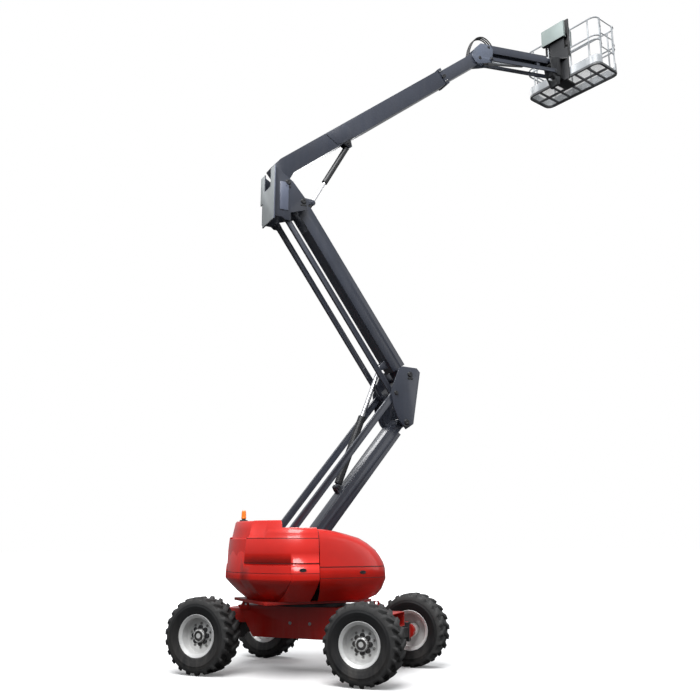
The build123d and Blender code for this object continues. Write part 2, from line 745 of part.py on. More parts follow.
def cylinder_barrel(ends, radius, reach, pin_r=LINK_PIN_R, eye_w=96.0):
    """Barrel with a bored eye on its pin; reach is how far it goes towards the rod's pin."""
    eye_r = eye_w * 0.45
    solid = disc(eye_r * 1.05, eye_w)
    solid += Pos((eye_r + 30) / 2, 0, 0) * Box(eye_r + 30, eye_w, eye_r)
    solid += along_x(eye_r + 22, reach, radius)
    solid -= Rot(90, 0, 0) * Cylinder(pin_r + PIN_GAP, eye_w + 2)
    solid -= along_x(eye_r + 70, reach + 1, radius * ROD_SHARE + PIN_GAP)
    return at(ends[0], angle_of(*ends)) * solid


def cylinder_rod(ends, radius, start, eye_w=96.0):
    """Bright rod that runs in the barrel, with the eye at its end."""
    length = span(*ends)
    solid = along_x(start, length, radius * ROD_SHARE) + Pos(length, 0, 0) * disc(eye_w * 0.47, eye_w)
    return at(ends[0], angle_of(*ends)) * solid


# ---- boom ------------------------------------------------------------------------------------
def on_boom():
    return at(BOOM_FOOT, BOOM_ANGLE)


def boom_point(point):
    """(along, above) of a point counted from the boom's foot pin."""
    a = radians(BOOM_ANGLE)
    dx, dz = point[0] - BOOM_FOOT[0], point[1] - BOOM_FOOT[1]
    return (dx * cos(a) + dz * sin(a), -dx * sin(a) + dz * cos(a))


def boom_outer():
    """Fixed section: cut-back root, foot lugs, front collar and the ears of its lift cylinder."""
    low, high = BOOM_RISE - OUTER_H / 2, BOOM_RISE + OUTER_H / 2
    w = BOOM_WALL
    skin = [(-25, low), (OUTER_END, low), (OUTER_END, high), (218, high), (-25, high - 48)]
    room = [
        (w - 25, low + w),
        (OUTER_END + 5, low + w),
        (OUTER_END + 5, high - w),
        (220, high - w),
        (w - 25, high - 48 - w),
    ]
    body = plate(skin, 0, OUTER_W) - plate(room, 0, OUTER_W - 2 * w)
    body += open_tube(OUTER_END - 60, OUTER_END + 20, OUTER_H + 30, OUTER_W + 30, 15 + w, BOOM_RISE)
    lug = [
        (-25, low + 2),
        (-70, 22),
        (-62, -42),
        (-20, -72),
        (20, -72),
        (62, -42),
        (120, 40),
        (300, low + 2),
    ]
    foot = pair(plate(lug, OUTER_W / 2 - 25, 50))
    body += foot - Rot(90, 0, 0) * Cylinder(PIN_R + PIN_GAP, OUTER_W + 2)
    point = boom_point(BOOM_CYL[0])
    doubler = [
        (point[0] - 330, high - 12),
        (point[0] - 250, low + 40),
        (point[0] - 110, low + 8),
        (point[0] + 130, low + 8),
        (point[0] + 150, high - 60),
        (point[0] - 60, high - 12),
    ]
    body += pair(plate(doubler, OUTER_W / 2 + 4, 9))
    body = on_boom() * body
    body += ears(BOOM_FOOT, BOOM_ANGLE, point, low + 5, 52, 16, 58)
    return body + pin(BOOM_CYL[0], LINK_PIN_R, -60, 60)


def boom_inner():
    """Telescopic section with a solid tongue at its end for the jib base."""
    body = open_tube(INNER_START, INNER_END, INNER_H, INNER_W, BOOM_WALL, BOOM_RISE)
    along, above = HEAD_PIN
    tongue = [
        (INNER_END - 260, BOOM_RISE - INNER_H / 2 + 4),
        (INNER_END - 20, BOOM_RISE - 100),
        (along - 40, above - 60),
        (along + 25, above - 62),
        (along + 60, above - 25),
        (along + 60, above + 25),
        (along + 25, above + 62),
        (INNER_END - 20, BOOM_RISE + 90),
        (INNER_END - 260, BOOM_RISE + INNER_H / 2 - 4),
    ]
    body += plate(tongue, 0, 2 * TONGUE_HALF)
    body -= Pos(along, 0, above) * Rot(90, 0, 0) * Cylinder(LINK_PIN_R + PIN_GAP, 300)
    return on_boom() * body


TONGUE_HALF = 68.0
HEAD_POINT = (
    BOOM_FOOT[0] + HEAD_PIN[0] * cos(radians(BOOM_ANGLE)) - HEAD_PIN[1] * sin(radians(BOOM_ANGLE)),
    BOOM_FOOT[1] + HEAD_PIN[0] * sin(radians(BOOM_ANGLE)) + HEAD_PIN[1] * cos(radians(BOOM_ANGLE)),
)


# ---- jib ---------------------------------------------------------------------------------------
def jib_base():
    """Levelled head: two plates that carry the jib, its links and its cylinder."""
    outline = [
        (3415, 10985),
        (3345, 11020),
        (3290, 11130),
        (3353, 11308),
        (3497, 11459),
        (3640, 11478),
        (3735, 11468),
        (3798, 11400),
        (3775, 11235),
        (3795, 11170),
        (3760, 11112),
        (3700, 11090),
        (3600, 11050),
    ]
    core = pair(plate(outline, JIB_PLATE_Y, JIB_PLATE_T))
    core += pin(HEAD_POINT, LINK_PIN_R, -JIB_PLATE_Y, JIB_PLATE_Y)
    core += pin(JIB_TOP_FOOT, JIB_PIN_R, -JIB_PLATE_Y, JIB_PLATE_Y)
    core += pin(JIB_CYL[0], JIB_PIN_R, -JIB_PLATE_Y, JIB_PLATE_Y)
    stub_end = JIB_LINK_Y + JIB_LINK_T / 2 + 6
    return core + pair(pin(JIB_LOW_FOOT, JIB_PIN_R, JIB_PLATE_Y, stub_end))


def jib_arm():
    """Jib arm, a channel open below for its cylinder, with two cheeks at its foot and a solid head."""
    length = span(JIB_TOP_FOOT, JIB_TOP_HEAD)
    wall = 8.0
    head_x = length - 90
    solid = Pos((60 + head_x) / 2, 0, 0) * Box(head_x - 60, JIB_W, JIB_H)
    solid -= Pos(head_x / 2 - 10, 0, -wall) * Box(head_x, JIB_W - 2 * wall, JIB_H)
    solid += Pos((length + head_x) / 2 - 10, 0, 0) * Box(110, JIB_W, 76) + Pos(length, 0, 0) * disc(44, JIB_W)
    cheek = Pos(60, JIB_CHEEK_Y, 0) * Box(120, JIB_W - 2 * JIB_CHEEK_Y, 76)
    cheek += Pos(0, JIB_CHEEK_Y, 0) * disc(44, JIB_W - 2 * JIB_CHEEK_Y)
    solid += pair(cheek)
    for x in (0, length):
        solid -= Pos(x, 0, 0) * Rot(90, 0, 0) * Cylinder(JIB_PIN_R + PIN_GAP, 400)
    angle = angle_of(JIB_TOP_FOOT, JIB_TOP_HEAD)
    point = local(JIB_TOP_FOOT, JIB_TOP_HEAD, JIB_CYL[1])
    solid = at(JIB_TOP_FOOT, angle) * solid + ears(JIB_TOP_FOOT, angle, point, JIB_H / 2 - 5, 38, 10, 34)
    return solid + pair(pin(JIB_CYL[1], JIB_PIN_R, 46, 55))


def jib_links():
    bar = eye_bar(JIB_LOW_FOOT, JIB_LOW_HEAD, JIB_LINK_Y, JIB_LINK_T, JIB_LINK_H, JIB_PIN_R + PIN_GAP, 44)
    return pair(bar)


def jib_end():
    """Bracket at the jib's end, with the rotary actuator that turns the platform."""
    tx, tz = JIB_TOP_HEAD
    lx, lz = JIB_LOW_HEAD
    outline = [
        (lx - 62, lz - 40),
        (lx - 20, ROTATOR_LOW - 60),
        (ROTATOR_X - 70, ROTATOR_LOW - 225),
        (ROTATOR_X - 10, ROTATOR_LOW - 225),
        (ROTATOR_X + 10, ROTATOR_LOW - 45),
        (ROTATOR_X - 122, ROTATOR_LOW - 45),
        (ROTATOR_X - 122, ROTATOR_LOW + 10),
        (ROTATOR_X - 55, ROTATOR_LOW + 20),
        (ROTATOR_X - 55, ROTATOR_HIGH - 20),
        (tx + 20, tz + 62),
        (tx - 40, tz + 40),
        (tx - 52, tz - 20),
    ]
    core = pair(plate(outline, JIB_PLATE_Y, JIB_PLATE_T))
    core += pin(JIB_TOP_HEAD, JIB_PIN_R, -JIB_PLATE_Y, JIB_PLATE_Y)
    core += pair(pin(JIB_LOW_HEAD, JIB_PIN_R, JIB_PLATE_Y, JIB_LINK_Y + JIB_LINK_T / 2 + 6))
    y = JIB_PLATE_Y
    core += block(ROTATOR_X - 110, ROTATOR_X - 60, -y, y, ROTATOR_LOW + 20, ROTATOR_HIGH - 20)
    core += block(ROTATOR_X - 68, ROTATOR_X - 12, -y, y, ROTATOR_LOW - 220, ROTATOR_LOW - 60)
    middle = (ROTATOR_LOW + ROTATOR_HIGH) / 2
    height = ROTATOR_HIGH - ROTATOR_LOW
    core += Pos(ROTATOR_X, 0, ROTATOR_LOW) * extrude(RegularPolygon(ROTATOR_R, 16), amount=height)
    core += Pos(ROTATOR_X, 0, middle) * Cylinder(40, height + 50)
    return core


# ---- platform -----------------------------------------------------------------------------------
def on_basket():
    """Frame on the rotator's axis at floor level; X goes out over the platform, Y along it."""
    return Pos(ROTATOR_X, 0, BASKET_FLOOR_Z) * Rot(0, 0, BASKET_YAW)


def basket_path(inset):
    """Level path round the platform with rounded corners, as (x, y) points."""
    x0, x1 = BASKET_GAP + inset, BASKET_GAP + BASKET_W - inset
    y1 = BASKET_L / 2 - inset
    radius = 140.0 - inset
    points = []
    for cx, cy, first in (
        (x1 - radius, y1 - radius, 0),
        (x0 + radius, y1 - radius, 90),
        (x0 + radius, radius - y1, 180),
        (x1 - radius, radius - y1, 270),
    ):
        for step in (0, 30, 60, 90):
            a = radians(first + step)
            points.append((cx + radius * cos(a), cy + radius * sin(a)))
    return points


def basket_slab(outer, inner, z0, z1):
    """Ring round the platform between two insets, or a full slab when inner is None."""
    slab = Pos(0, 0, z0) * extrude(make_face(Polyline(*basket_path(outer), close=True)), amount=z1 - z0)
    if inner is None:
        return slab
    hole = extrude(make_face(Polyline(*basket_path(inner), close=True)), amount=z1 - z0 + 2)
    return slab - Pos(0, 0, z0 - 1) * hole


def basket_floor():
    """Frame under the tread, with cross bars, and the tread sheet set into its rim."""
    floor = basket_slab(0, 44, 0, 50)
    middle = BASKET_GAP + BASKET_W / 2
    for y in (-606, -303, 0, 303, 606):
        floor += Pos(middle, y, 26) * Box(BASKET_W - 40, 26, 48)
    floor += Pos(middle, 0, 26) * Box(26, BASKET_L - 40, 48)
    return on_basket() * (floor + basket_slab(46, None, 48, FLOOR_TOP))


GATE_HALF = 236.0               # from the entry's middle to the posts beside it
GATE_STILE = 200.0              # from the entry's middle to the gate's own uprights
RAIL_LEVELS = (573.0, 665.0, BASKET_H - RAIL_R)
TOE_TOP = 225.0


def basket_rails():
    """Guard rails, posts and toe board, open at the entry in the platform's end."""
    rails = basket_slab(4, 10, 50.5, TOE_TOP)
    for z in RAIL_LEVELS:
        rails += tube_ring(basket_path(RAIL_R), RAIL_R, z)
    middle = BASKET_GAP + BASKET_W / 2
    rails -= Pos(middle, -BASKET_L / 2, 0) * Box(2 * GATE_HALF, 120, 3000)
    near, far = BASKET_GAP + RAIL_R, BASKET_GAP + BASKET_W - RAIL_R
    low, high = RAIL_R - BASKET_L / 2, BASKET_L / 2 - RAIL_R
    posts = [(near, -700), (near, -250), (near, 300), (near, 700)]
    posts += [(far, -700), (far, -233), (far, 233), (far, 700)]
    posts += [(middle - GATE_HALF, low), (middle + GATE_HALF, low), (middle, high)]
    for x, y in posts:
        rails += Pos(x, y, 50.5) * Rot(0, 0, 22.5) * extrude(RegularPolygon(RAIL_R - 1, 8), amount=BASKET_H - 58)
    for z in (500, 900):
        tab = Pos(middle - (GATE_HALF + GATE_STILE) / 2, low, z) * Box(60, 28, 14)
        rails += tab - Pos(middle - GATE_STILE, low, z) * Cylinder(10 + PIN_GAP, 30)
    return on_basket() * rails


def entry_gate():
    """Swing gate of the entry in the platform's end, hung on two tabs of its post."""
    y = RAIL_R - BASKET_L / 2
    middle = BASKET_GAP + BASKET_W / 2
    gate = Pos(middle + GATE_STILE, y, 410) * extrude(RegularPolygon(11, 8), amount=680)
    gate += Pos(middle - GATE_STILE, y, 750) * Cylinder(10, 680)
    for z in (430, 750, 1070):
        gate += Pos(middle, y, z) * Rot(0, 0, 90) * disc(11, 2 * GATE_STILE, 8)
    return on_basket() * gate


def console():
    """Control box that straddles the top rail, with a sloping cover and a side plate."""
    g = BASKET_GAP
    side = [
        (g - 85, 955),
        (g - 8, 955),
        (g - 8, BASKET_H + 4),
        (g + 40, BASKET_H + 4),
        (g + 40, 800),
        (g + 190, 800),
        (g + 200, 1150),
        (g + 60, 1340),
        (g - 40, 1350),
        (g - 85, 1322),
    ]
    box = plate(side, 105, 570)
    box += block(g - 42, g - 8, -270, -232, 455, 1100) + block(g - 42, g - 8, -270, -150, 1000, 1335)
    return on_basket() * box


def basket_mount():
    """Clevis on the rotary actuator with the dark post that carries the platform."""
    low, high = ROTATOR_LOW - BASKET_FLOOR_Z, ROTATOR_HIGH - BASKET_FLOOR_Z
    front = BASKET_GAP - 1
    post = block(front - 32, front, -220, 220, -40, 700) + block(front - 28, front - 10, -140, 225, 690, 950)
    for z0, half in ((low - 26, 88), (high + 6, 200)):
        arm = [(-20, -86), (40, -86), (front - 30, -half), (front - 30, half), (40, 86), (-20, 86), (-86, 40), (-86, -40)]
        arm = extrude(make_face(Polyline(*arm, close=True)), amount=20)
        post += Pos(0, 0, z0) * arm - Pos(0, 0, z0) * Cylinder(40 + PIN_GAP, 60)
    post += block(front - 32, BASKET_GAP + 300, -130, 130, -40, -1)
    return on_basket() * post


# ---- nodes ----------------------------------------------------------------------------------------
CORNERS = (("front_left", 1, 1), ("front_right", 1, -1), ("rear_left", -1, 1), ("rear_right", -1, -1))


def main():
    save("chassis_frame", under(chassis_frame()))
    save("slew_ring", slew_ring())
    save("axles", under(axle(1) + axle(-1)))
    for corner, end, sign in CORNERS:
        save(f"steer_knuckle_{corner}", under(steer_knuckle(end, sign)))
        save(f"rim_{corner}", under(rim(end, sign)))
        save(f"tyre_{corner}", under(tyre(end, sign)))

    save("turret_frame", turret_frame())
    save("counterweight", counterweight())
    save("beacon", beacon())
    save("engine_block", engine_block())
    save("tail_cowls", tail_cowls())
    save("nose_hood_left", nose_hood(1))
    save("nose_hood_right", nose_hood(-1))

    save("lower_arm", lower_arm())
    save("lower_links", lower_links())
    save("elbow_frame", elbow_frame())
    save("upper_arm", upper_arm())
    save("upper_links", upper_links())
    save("top_knuckle", top_knuckle())
    save("arm_cylinder_barrel", cylinder_barrel(ARM_CYL, 62, 1240))
    save("arm_cylinder_rod", cylinder_rod(ARM_CYL, 62, 970))

    save("boom_outer", boom_outer())
    save("boom_inner", boom_inner())
    save("boom_cylinder_barrel", cylinder_barrel(BOOM_CYL, 50, 900))
    save("boom_cylinder_rod", cylinder_rod(BOOM_CYL, 50, 490))

    save("jib_base", jib_base())
    save("jib_arm", jib_arm())
    save("jib_links", jib_links())
    save("jib_end", jib_end())
    save("jib_cylinder_barrel", cylinder_barrel(JIB_CYL, 42, 960, JIB_PIN_R, 68))
    save("jib_cylinder_rod", cylinder_rod(JIB_CYL, 42, 440, 68))

    save("basket_mount", basket_mount())
    save("basket_floor", basket_floor())
    save("basket_rails", basket_rails())
    save("entry_gate", entry_gate())
    save("console", console())


if __name__ == "__main__":
    main()
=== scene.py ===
import json
from math import cos, pi, radians, sin

import bpy
from mathutils import Matrix, Vector


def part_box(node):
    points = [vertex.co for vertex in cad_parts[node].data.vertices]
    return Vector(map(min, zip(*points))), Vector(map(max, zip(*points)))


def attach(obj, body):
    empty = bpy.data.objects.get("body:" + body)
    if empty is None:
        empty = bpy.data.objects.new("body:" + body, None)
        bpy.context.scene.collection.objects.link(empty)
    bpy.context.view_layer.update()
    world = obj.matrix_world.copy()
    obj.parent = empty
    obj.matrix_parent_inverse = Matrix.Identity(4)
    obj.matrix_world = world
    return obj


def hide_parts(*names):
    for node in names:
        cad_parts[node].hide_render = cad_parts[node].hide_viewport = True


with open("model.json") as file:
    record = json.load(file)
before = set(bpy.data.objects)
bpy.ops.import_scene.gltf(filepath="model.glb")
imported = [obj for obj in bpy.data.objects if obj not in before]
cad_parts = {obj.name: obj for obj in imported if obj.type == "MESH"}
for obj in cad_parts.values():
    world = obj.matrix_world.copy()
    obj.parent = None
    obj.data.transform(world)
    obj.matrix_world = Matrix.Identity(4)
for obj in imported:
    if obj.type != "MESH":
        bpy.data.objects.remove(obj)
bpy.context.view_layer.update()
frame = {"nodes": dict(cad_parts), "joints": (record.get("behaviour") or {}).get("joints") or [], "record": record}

bl_info = {
    "name": "Boom lift dressing",
    "version": (1, 0, 0),
    "blender": (4, 5, 0),
    "location": "View3D > Sidebar > Boom Lift",
    "description": "Finishes and small parts of an articulating boom lift, built on its solids",
    "category": "Object",
}

JOINTS = {joint["name"]: joint for joint in frame["joints"]}
CORNERS = ("front_left", "front_right", "rear_left", "rear_right")


def pivot(name):
    return Vector(JOINTS[name]["pos_m"])


def axis_of(name):
    return Vector(JOINTS[name]["axis"])


def member(start, along):
    """Frame at start with X along the member, Y to the left and Z above it."""
    x = Vector(along).normalized()
    y = Vector((0, 1, 0))
    z = x.cross(y)
    return Matrix.Translation(start) @ Matrix((x, y, z)).transposed().to_4x4()


SLEW = Matrix.Translation(pivot("turret_slew"))
BOOM = member(pivot("boom_lift"), axis_of("telescope"))
wheel_axis = axis_of("spin_front_left")
UNDER = SLEW @ Matrix(
    (Vector((wheel_axis.y, -wheel_axis.x, 0)), wheel_axis, Vector((0, 0, 1)))
).transposed().to_4x4()


# ---- settings ------------------------------------------------------------------------------------
class StageSettings(bpy.types.PropertyGroup):
    """Camera, lamps and floor."""

    camera_at: bpy.props.FloatVectorProperty(
        name="Camera", description="Where the camera stands", size=3, default=(-7.509, -11.593, 1.872),
        subtype="XYZ"
    )
    heading: bpy.props.FloatProperty(
        name="Heading", description="Camera's heading, from +X towards +Y", default=radians(63.1),
        subtype="ANGLE"
    )
    pitch: bpy.props.FloatProperty(
        name="Pitch", description="Camera's tilt above the horizon", default=radians(13.25), subtype="ANGLE"
    )
    lens: bpy.props.FloatProperty(
        name="Lens", description="Focal length in millimetres", default=41.54, min=1.0
    )
    floor_glow: bpy.props.FloatProperty(
        name="Floor glow", description="White that the camera sees on the near floor over its own light",
        default=0.12, min=0.0
    )


class PaintSettings(bpy.types.PropertyGroup):
    """Colours of the finishes."""

    body_red: bpy.props.FloatVectorProperty(
        name="Body red", description="Gloss enamel of the covers", size=3, default=(0.64, 0.012, 0.005),
        subtype="COLOR"
    )
    boom_grey: bpy.props.FloatVectorProperty(
        name="Boom grey", description="Paint of the arms", size=3, default=(0.030, 0.035, 0.050),
        subtype="COLOR"
    )
    rail_grey: bpy.props.FloatVectorProperty(
        name="Rail grey", description="Paint of rails and brackets", size=3, default=(0.34, 0.36, 0.38),
        subtype="COLOR"
    )
    # Pale grey of the chassis plugs; on the head's rear faces it is a painted highlight.
    pale_grey_and_painted_highlight: bpy.props.FloatVectorProperty(
        name="Bracket grey", description="Pale paint of the head plates", size=3,
        default=(0.33, 0.355, 0.365), subtype="COLOR"
    )


class DetailSettings(bpy.types.PropertyGroup):
    """Sizes shared by the small parts."""

    paint_edge: bpy.props.FloatProperty(
        name="Paint edge", description="Rounding of plate edges", default=0.003, subtype="DISTANCE",
        min=0.0005
    )
    sides: bpy.props.IntProperty(name="Sides", description="Sides of turned parts", default=48, min=8)


SETTINGS = {"lift_stage": StageSettings, "lift_paint": PaintSettings, "lift_detail": DetailSettings}


def settings(name):
    return getattr(bpy.context.scene, name)


# ---- working in edit mode -------------------------------------------------------------------------
def clear():
    if bpy.context.mode != "OBJECT":
        bpy.ops.object.mode_set(mode="OBJECT")
    bpy.ops.object.select_all(action="DESELECT")


def pick(obj):
    clear()
    obj.select_set(True)
    bpy.context.view_layer.objects.active = obj
    return obj


def smoothed(obj, angle):
    pick(obj)
    bpy.ops.object.shade_smooth_by_angle(angle=radians(angle))
    return obj


def applied(obj, matrix):
    """Set a piece in place and put the place in its mesh."""
    pick(obj)
    obj.matrix_world = matrix
    bpy.ops.object.transform_apply(location=True, rotation=True, scale=True)
    return obj


def edit(obj, kind="FACE"):
    pick(obj)
    bpy.ops.object.mode_set(mode="EDIT")
    bpy.ops.mesh.select_mode(type=kind)
    bpy.ops.mesh.select_all(action="DESELECT")


def faces_where(obj, test):
    """Select, in edit mode, the faces whose centre and normal pass the test."""
    bpy.ops.object.mode_set(mode="OBJECT")
    found = 0
    for face in obj.data.polygons:
        face.select = bool(test(face.center, face.normal))
        found += face.select
    bpy.ops.object.mode_set(mode="EDIT")
    if not found:
        raise RuntimeError(f"{obj.name}: no face passes the test")
    return found


def settle(obj, matrix, smooth=35.0):
    """Put a piece that was shaped about the origin in its place, and smooth its round faces."""
    return smoothed(applied(obj, matrix), smooth)


def chamfer(obj, width, segments=2, angle=30.0, clamp=True):
    pick(obj)
    bevel = obj.modifiers.new("edge", "BEVEL")
    bevel.width = width
    bevel.segments = segments
    bevel.limit_method = "ANGLE"
    bevel.angle_limit = radians(angle)
    bevel.use_clamp_overlap = clamp
    bevel.harden_normals = False
    bpy.ops.object.modifier_apply(modifier=bevel.name)
    return obj


def lathe(name, stations, sides=None, ring=False):
    """Turned piece about Z from (radius, height) stations; a ring is closed on itself."""
    sides = sides or settings("lift_detail").sides
    clear()
    radius, height = stations[0]
    fill = "NOTHING" if ring else "NGON"
    bpy.ops.mesh.primitive_circle_add(vertices=sides, radius=radius, fill_type=fill, location=(0, 0, height))
    obj = bpy.context.object
    obj.name = name
    bpy.ops.object.transform_apply(location=True, rotation=True, scale=True)
    bpy.ops.object.mode_set(mode="EDIT")
    bpy.ops.mesh.select_mode(type="EDGE" if ring else "FACE")
    bpy.ops.mesh.select_all(action="SELECT")
    for (ra, za), (rb, zb) in zip(stations, stations[1:]):
        bpy.ops.mesh.extrude_region_move(TRANSFORM_OT_translate={"value": (0, 0, zb - za)})
        bpy.ops.transform.resize(value=(rb / ra, rb / ra, 1), center_override=(0, 0, zb))
    bpy.ops.mesh.select_all(action="SELECT")
    bpy.ops.mesh.remove_doubles(threshold=0.00001)
    bpy.ops.mesh.normals_make_consistent(inside=False)
    bpy.ops.object.mode_set(mode="OBJECT")
    return obj


def panel_box(name, size, inset=0.0, sink=0.0, edge=0.004):
    """Box about the origin, with an inset panel sunk in its -Y face and its edges eased."""
    clear()
    bpy.ops.mesh.primitive_cube_add(size=1, scale=size)
    obj = bpy.context.object
    obj.name = name
    bpy.ops.object.transform_apply(location=True, rotation=True, scale=True)
    if inset:
        edit(obj)
        faces_where(obj, lambda c, n: n.y < -0.9)
        bpy.ops.mesh.inset(thickness=inset, depth=0)
        bpy.ops.mesh.extrude_region_move(TRANSFORM_OT_translate={"value": (0, sink, 0)})
        bpy.ops.object.mode_set(mode="OBJECT")
    return chamfer(obj, edge)


def again(source, name, matrix):
    """Another of a piece that was shaped about the origin, with a mesh of its own, set in place."""
    pick(source)
    bpy.ops.object.duplicate(linked=False)
    obj = bpy.context.object
    obj.name = name
    obj.matrix_world = matrix
    bpy.ops.object.transform_apply(location=True, rotation=True, scale=True)
    return obj


def joined(parts, name):
    clear()
    for part in parts:
        part.select_set(True)
    bpy.context.view_layer.objects.active = parts[0]
    if len(parts) > 1:
        bpy.ops.object.join()
    obj = bpy.context.object
    obj.name = name
    return obj


def done(obj, body, mat):
    """Give a finished piece its material and let it move with its body."""
    obj.data.materials.clear()
    obj.data.materials.append(bpy.data.materials[mat])
    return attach(obj, body)


def repeated(source, matrices, name, body, mat):
    """Copies of one piece at several places, joined to one object; the first one is used up."""
    parts = [again(source, f"{name}_{i}", matrix) for i, matrix in enumerate(matrices)]
    bpy.data.objects.remove(source)
    return done(joined(parts, name), body, mat)


def copy_of_node(node, name):
    """A merged copy of one of the machine's solids, free to be shaped."""
    source = frame["nodes"][node]
    obj = bpy.data.objects.new(name, source.data.copy())
    bpy.context.scene.collection.objects.link(obj)
    obj.matrix_world = source.matrix_world.copy()
    pick(obj)
    bpy.ops.object.mode_set(mode="EDIT")
    bpy.ops.mesh.select_mode(type="VERT")
    bpy.ops.mesh.select_all(action="SELECT")
    bpy.ops.mesh.remove_doubles(threshold=0.00005)
    bpy.ops.mesh.dissolve_limited(angle_limit=radians(0.6))
    bpy.ops.object.mode_set(mode="OBJECT")
    return obj


def band(node, name, planes, lift=0.0015):
    """Strip on a solid's faces between planes (point, normal); what lies along a normal is cut off."""
    obj = copy_of_node(node, name)
    bpy.ops.object.mode_set(mode="EDIT")
    for point, normal in planes:
        bpy.ops.mesh.select_all(action="SELECT")
        bpy.ops.mesh.bisect(plane_co=point, plane_no=normal, clear_outer=True)
    bpy.ops.mesh.select_all(action="SELECT")
    bpy.ops.transform.shrink_fatten(value=lift)
    bpy.ops.object.mode_set(mode="OBJECT")
    if not obj.data.polygons:
        raise RuntimeError(f"{name}: nothing is left between the planes")
    return obj


def axis_frame(spot, axis):
    """Frame at spot whose Z points along the axis."""
    return Matrix.Translation(spot) @ Vector(axis).to_track_quat("Z", "Y").to_matrix().to_4x4()


def around(base, count, first, radius, height):
    """Places evenly round a frame's Z, the first one turned by a part of the step."""
    step = 2 * pi / count
    return [
        base @ Matrix.Rotation((i + first) * step, 4, "Z") @ Matrix.Translation((radius, 0, height))
        for i in range(count)
    ]


def body_of_node(node):
    return next(body for body, nodes in frame["record"]["behaviour"]["bodies"].items() if node in nodes)


# ---- shader groups -------------------------------------------------------------------------------
def group(name, inputs, outputs):
    tree = bpy.data.node_groups.new(name, "ShaderNodeTree")
    for label, kind, value in inputs:
        socket = tree.interface.new_socket(label, in_out="INPUT", socket_type=kind)
        socket.default_value = value
    for label, kind in outputs:
        tree.interface.new_socket(label, in_out="OUTPUT", socket_type=kind)
    return tree, tree.nodes.new("NodeGroupInput"), tree.nodes.new("NodeGroupOutput")


def wire(tree, *links):
    for start, end in links:
        tree.links.new(start, end)


def add(tree, kind, **values):
    """A new shader node; a socket's name is written with _ for each space."""
    node = tree.nodes.new(f"ShaderNode{kind}")
    for label, value in values.items():
        node.inputs[label.replace("_", " ")].default_value = value
    return node


def math_node(tree, operation, a=None, b=None, clamp=False):
    node = add(tree, "Math")
    node.operation = operation
    node.use_clamp = clamp
    for socket, value in zip(node.inputs, (a, b)):
        if isinstance(value, (int, float)):
            socket.default_value = value
        elif value is not None:
            tree.links.new(value, socket)
    return node.outputs[0]


def noise_node(tree, vector, scale, detail=4.0, rough=0.55):
    node = add(tree, "TexNoise", Detail=detail, Roughness=rough)
    tree.links.new(vector, node.inputs["Vector"])
    if isinstance(scale, (int, float)):
        node.inputs["Scale"].default_value = scale
    else:
        tree.links.new(scale, node.inputs["Scale"])
    return node.outputs["Fac"]


def steps(tree, value, low, high, first=0.0, last=1.0):
    """Smooth step of a value, from first at low to last at high."""
    node = add(tree, "MapRange")
    node.interpolation_type = "SMOOTHSTEP"
    tree.links.new(value, node.inputs["Value"])
    node.inputs["From Min"].default_value = low
    node.inputs["From Max"].default_value = high
    node.inputs["To Min"].default_value = first
    node.inputs["To Max"].default_value = last
    return node.outputs["Result"]


def edge_rounding_and_highlight_group():
    """Rounded normal at edges, and a broken mask of the edges, where a lighter colour is painted on as a
    highlight.
    """
    tree, into, out = group(
        "Edge rounding and highlight",
        [("Radius", "NodeSocketFloat", 0.004), ("Breakup", "NodeSocketFloat", 14.0)],
        [("Normal", "NodeSocketVector"), ("Edge", "NodeSocketFloat")],
    )
    bevel = add(tree, "Bevel")
    bevel.samples = 4
    geometry = add(tree, "NewGeometry")
    dot = add(tree, "VectorMath")
    dot.operation = "DOT_PRODUCT"
    coords = add(tree, "TexCoord")
    wire(
        tree,
        (into.outputs["Radius"], bevel.inputs["Radius"]),
        (bevel.outputs["Normal"], dot.inputs[0]),
        (geometry.outputs["Normal"], dot.inputs[1]),
        (bevel.outputs["Normal"], out.inputs["Normal"]),
    )
    turn = math_node(tree, "SUBTRACT", 1.0, dot.outputs["Value"])
    patchy = noise_node(tree, coords.outputs["Object"], into.outputs["Breakup"], 5.0)
    sharp = steps(tree, turn, 0.02, 0.16)
    # Edge mask: where a lighter colour is painted on the edges as a highlight, broken up by noise.
    wire(tree, (math_node(tree, "MULTIPLY", sharp, steps(tree, patchy, 0.42, 0.62)), out.inputs["Edge"]))
    return tree


def paint_film_group():
    """Slow change of tone, fine grain of the sprayed coat, and its height."""
    tree, into, out = group(
        "Paint film",
        [("Scale", "NodeSocketFloat", 1.6), ("Grain", "NodeSocketFloat", 420.0)],
        [("Tone", "NodeSocketFloat"), ("Height", "NodeSocketFloat")],
    )
    coords = add(tree, "TexCoord")
    slow = noise_node(tree, coords.outputs["Object"], into.outputs["Scale"], 3.0)
    fine = noise_node(tree, coords.outputs["Object"], into.outputs["Grain"], 2.0)
    wire(tree, (steps(tree, slow, 0.3, 0.7), out.inputs["Tone"]), (fine, out.inputs["Height"]))
    return tree


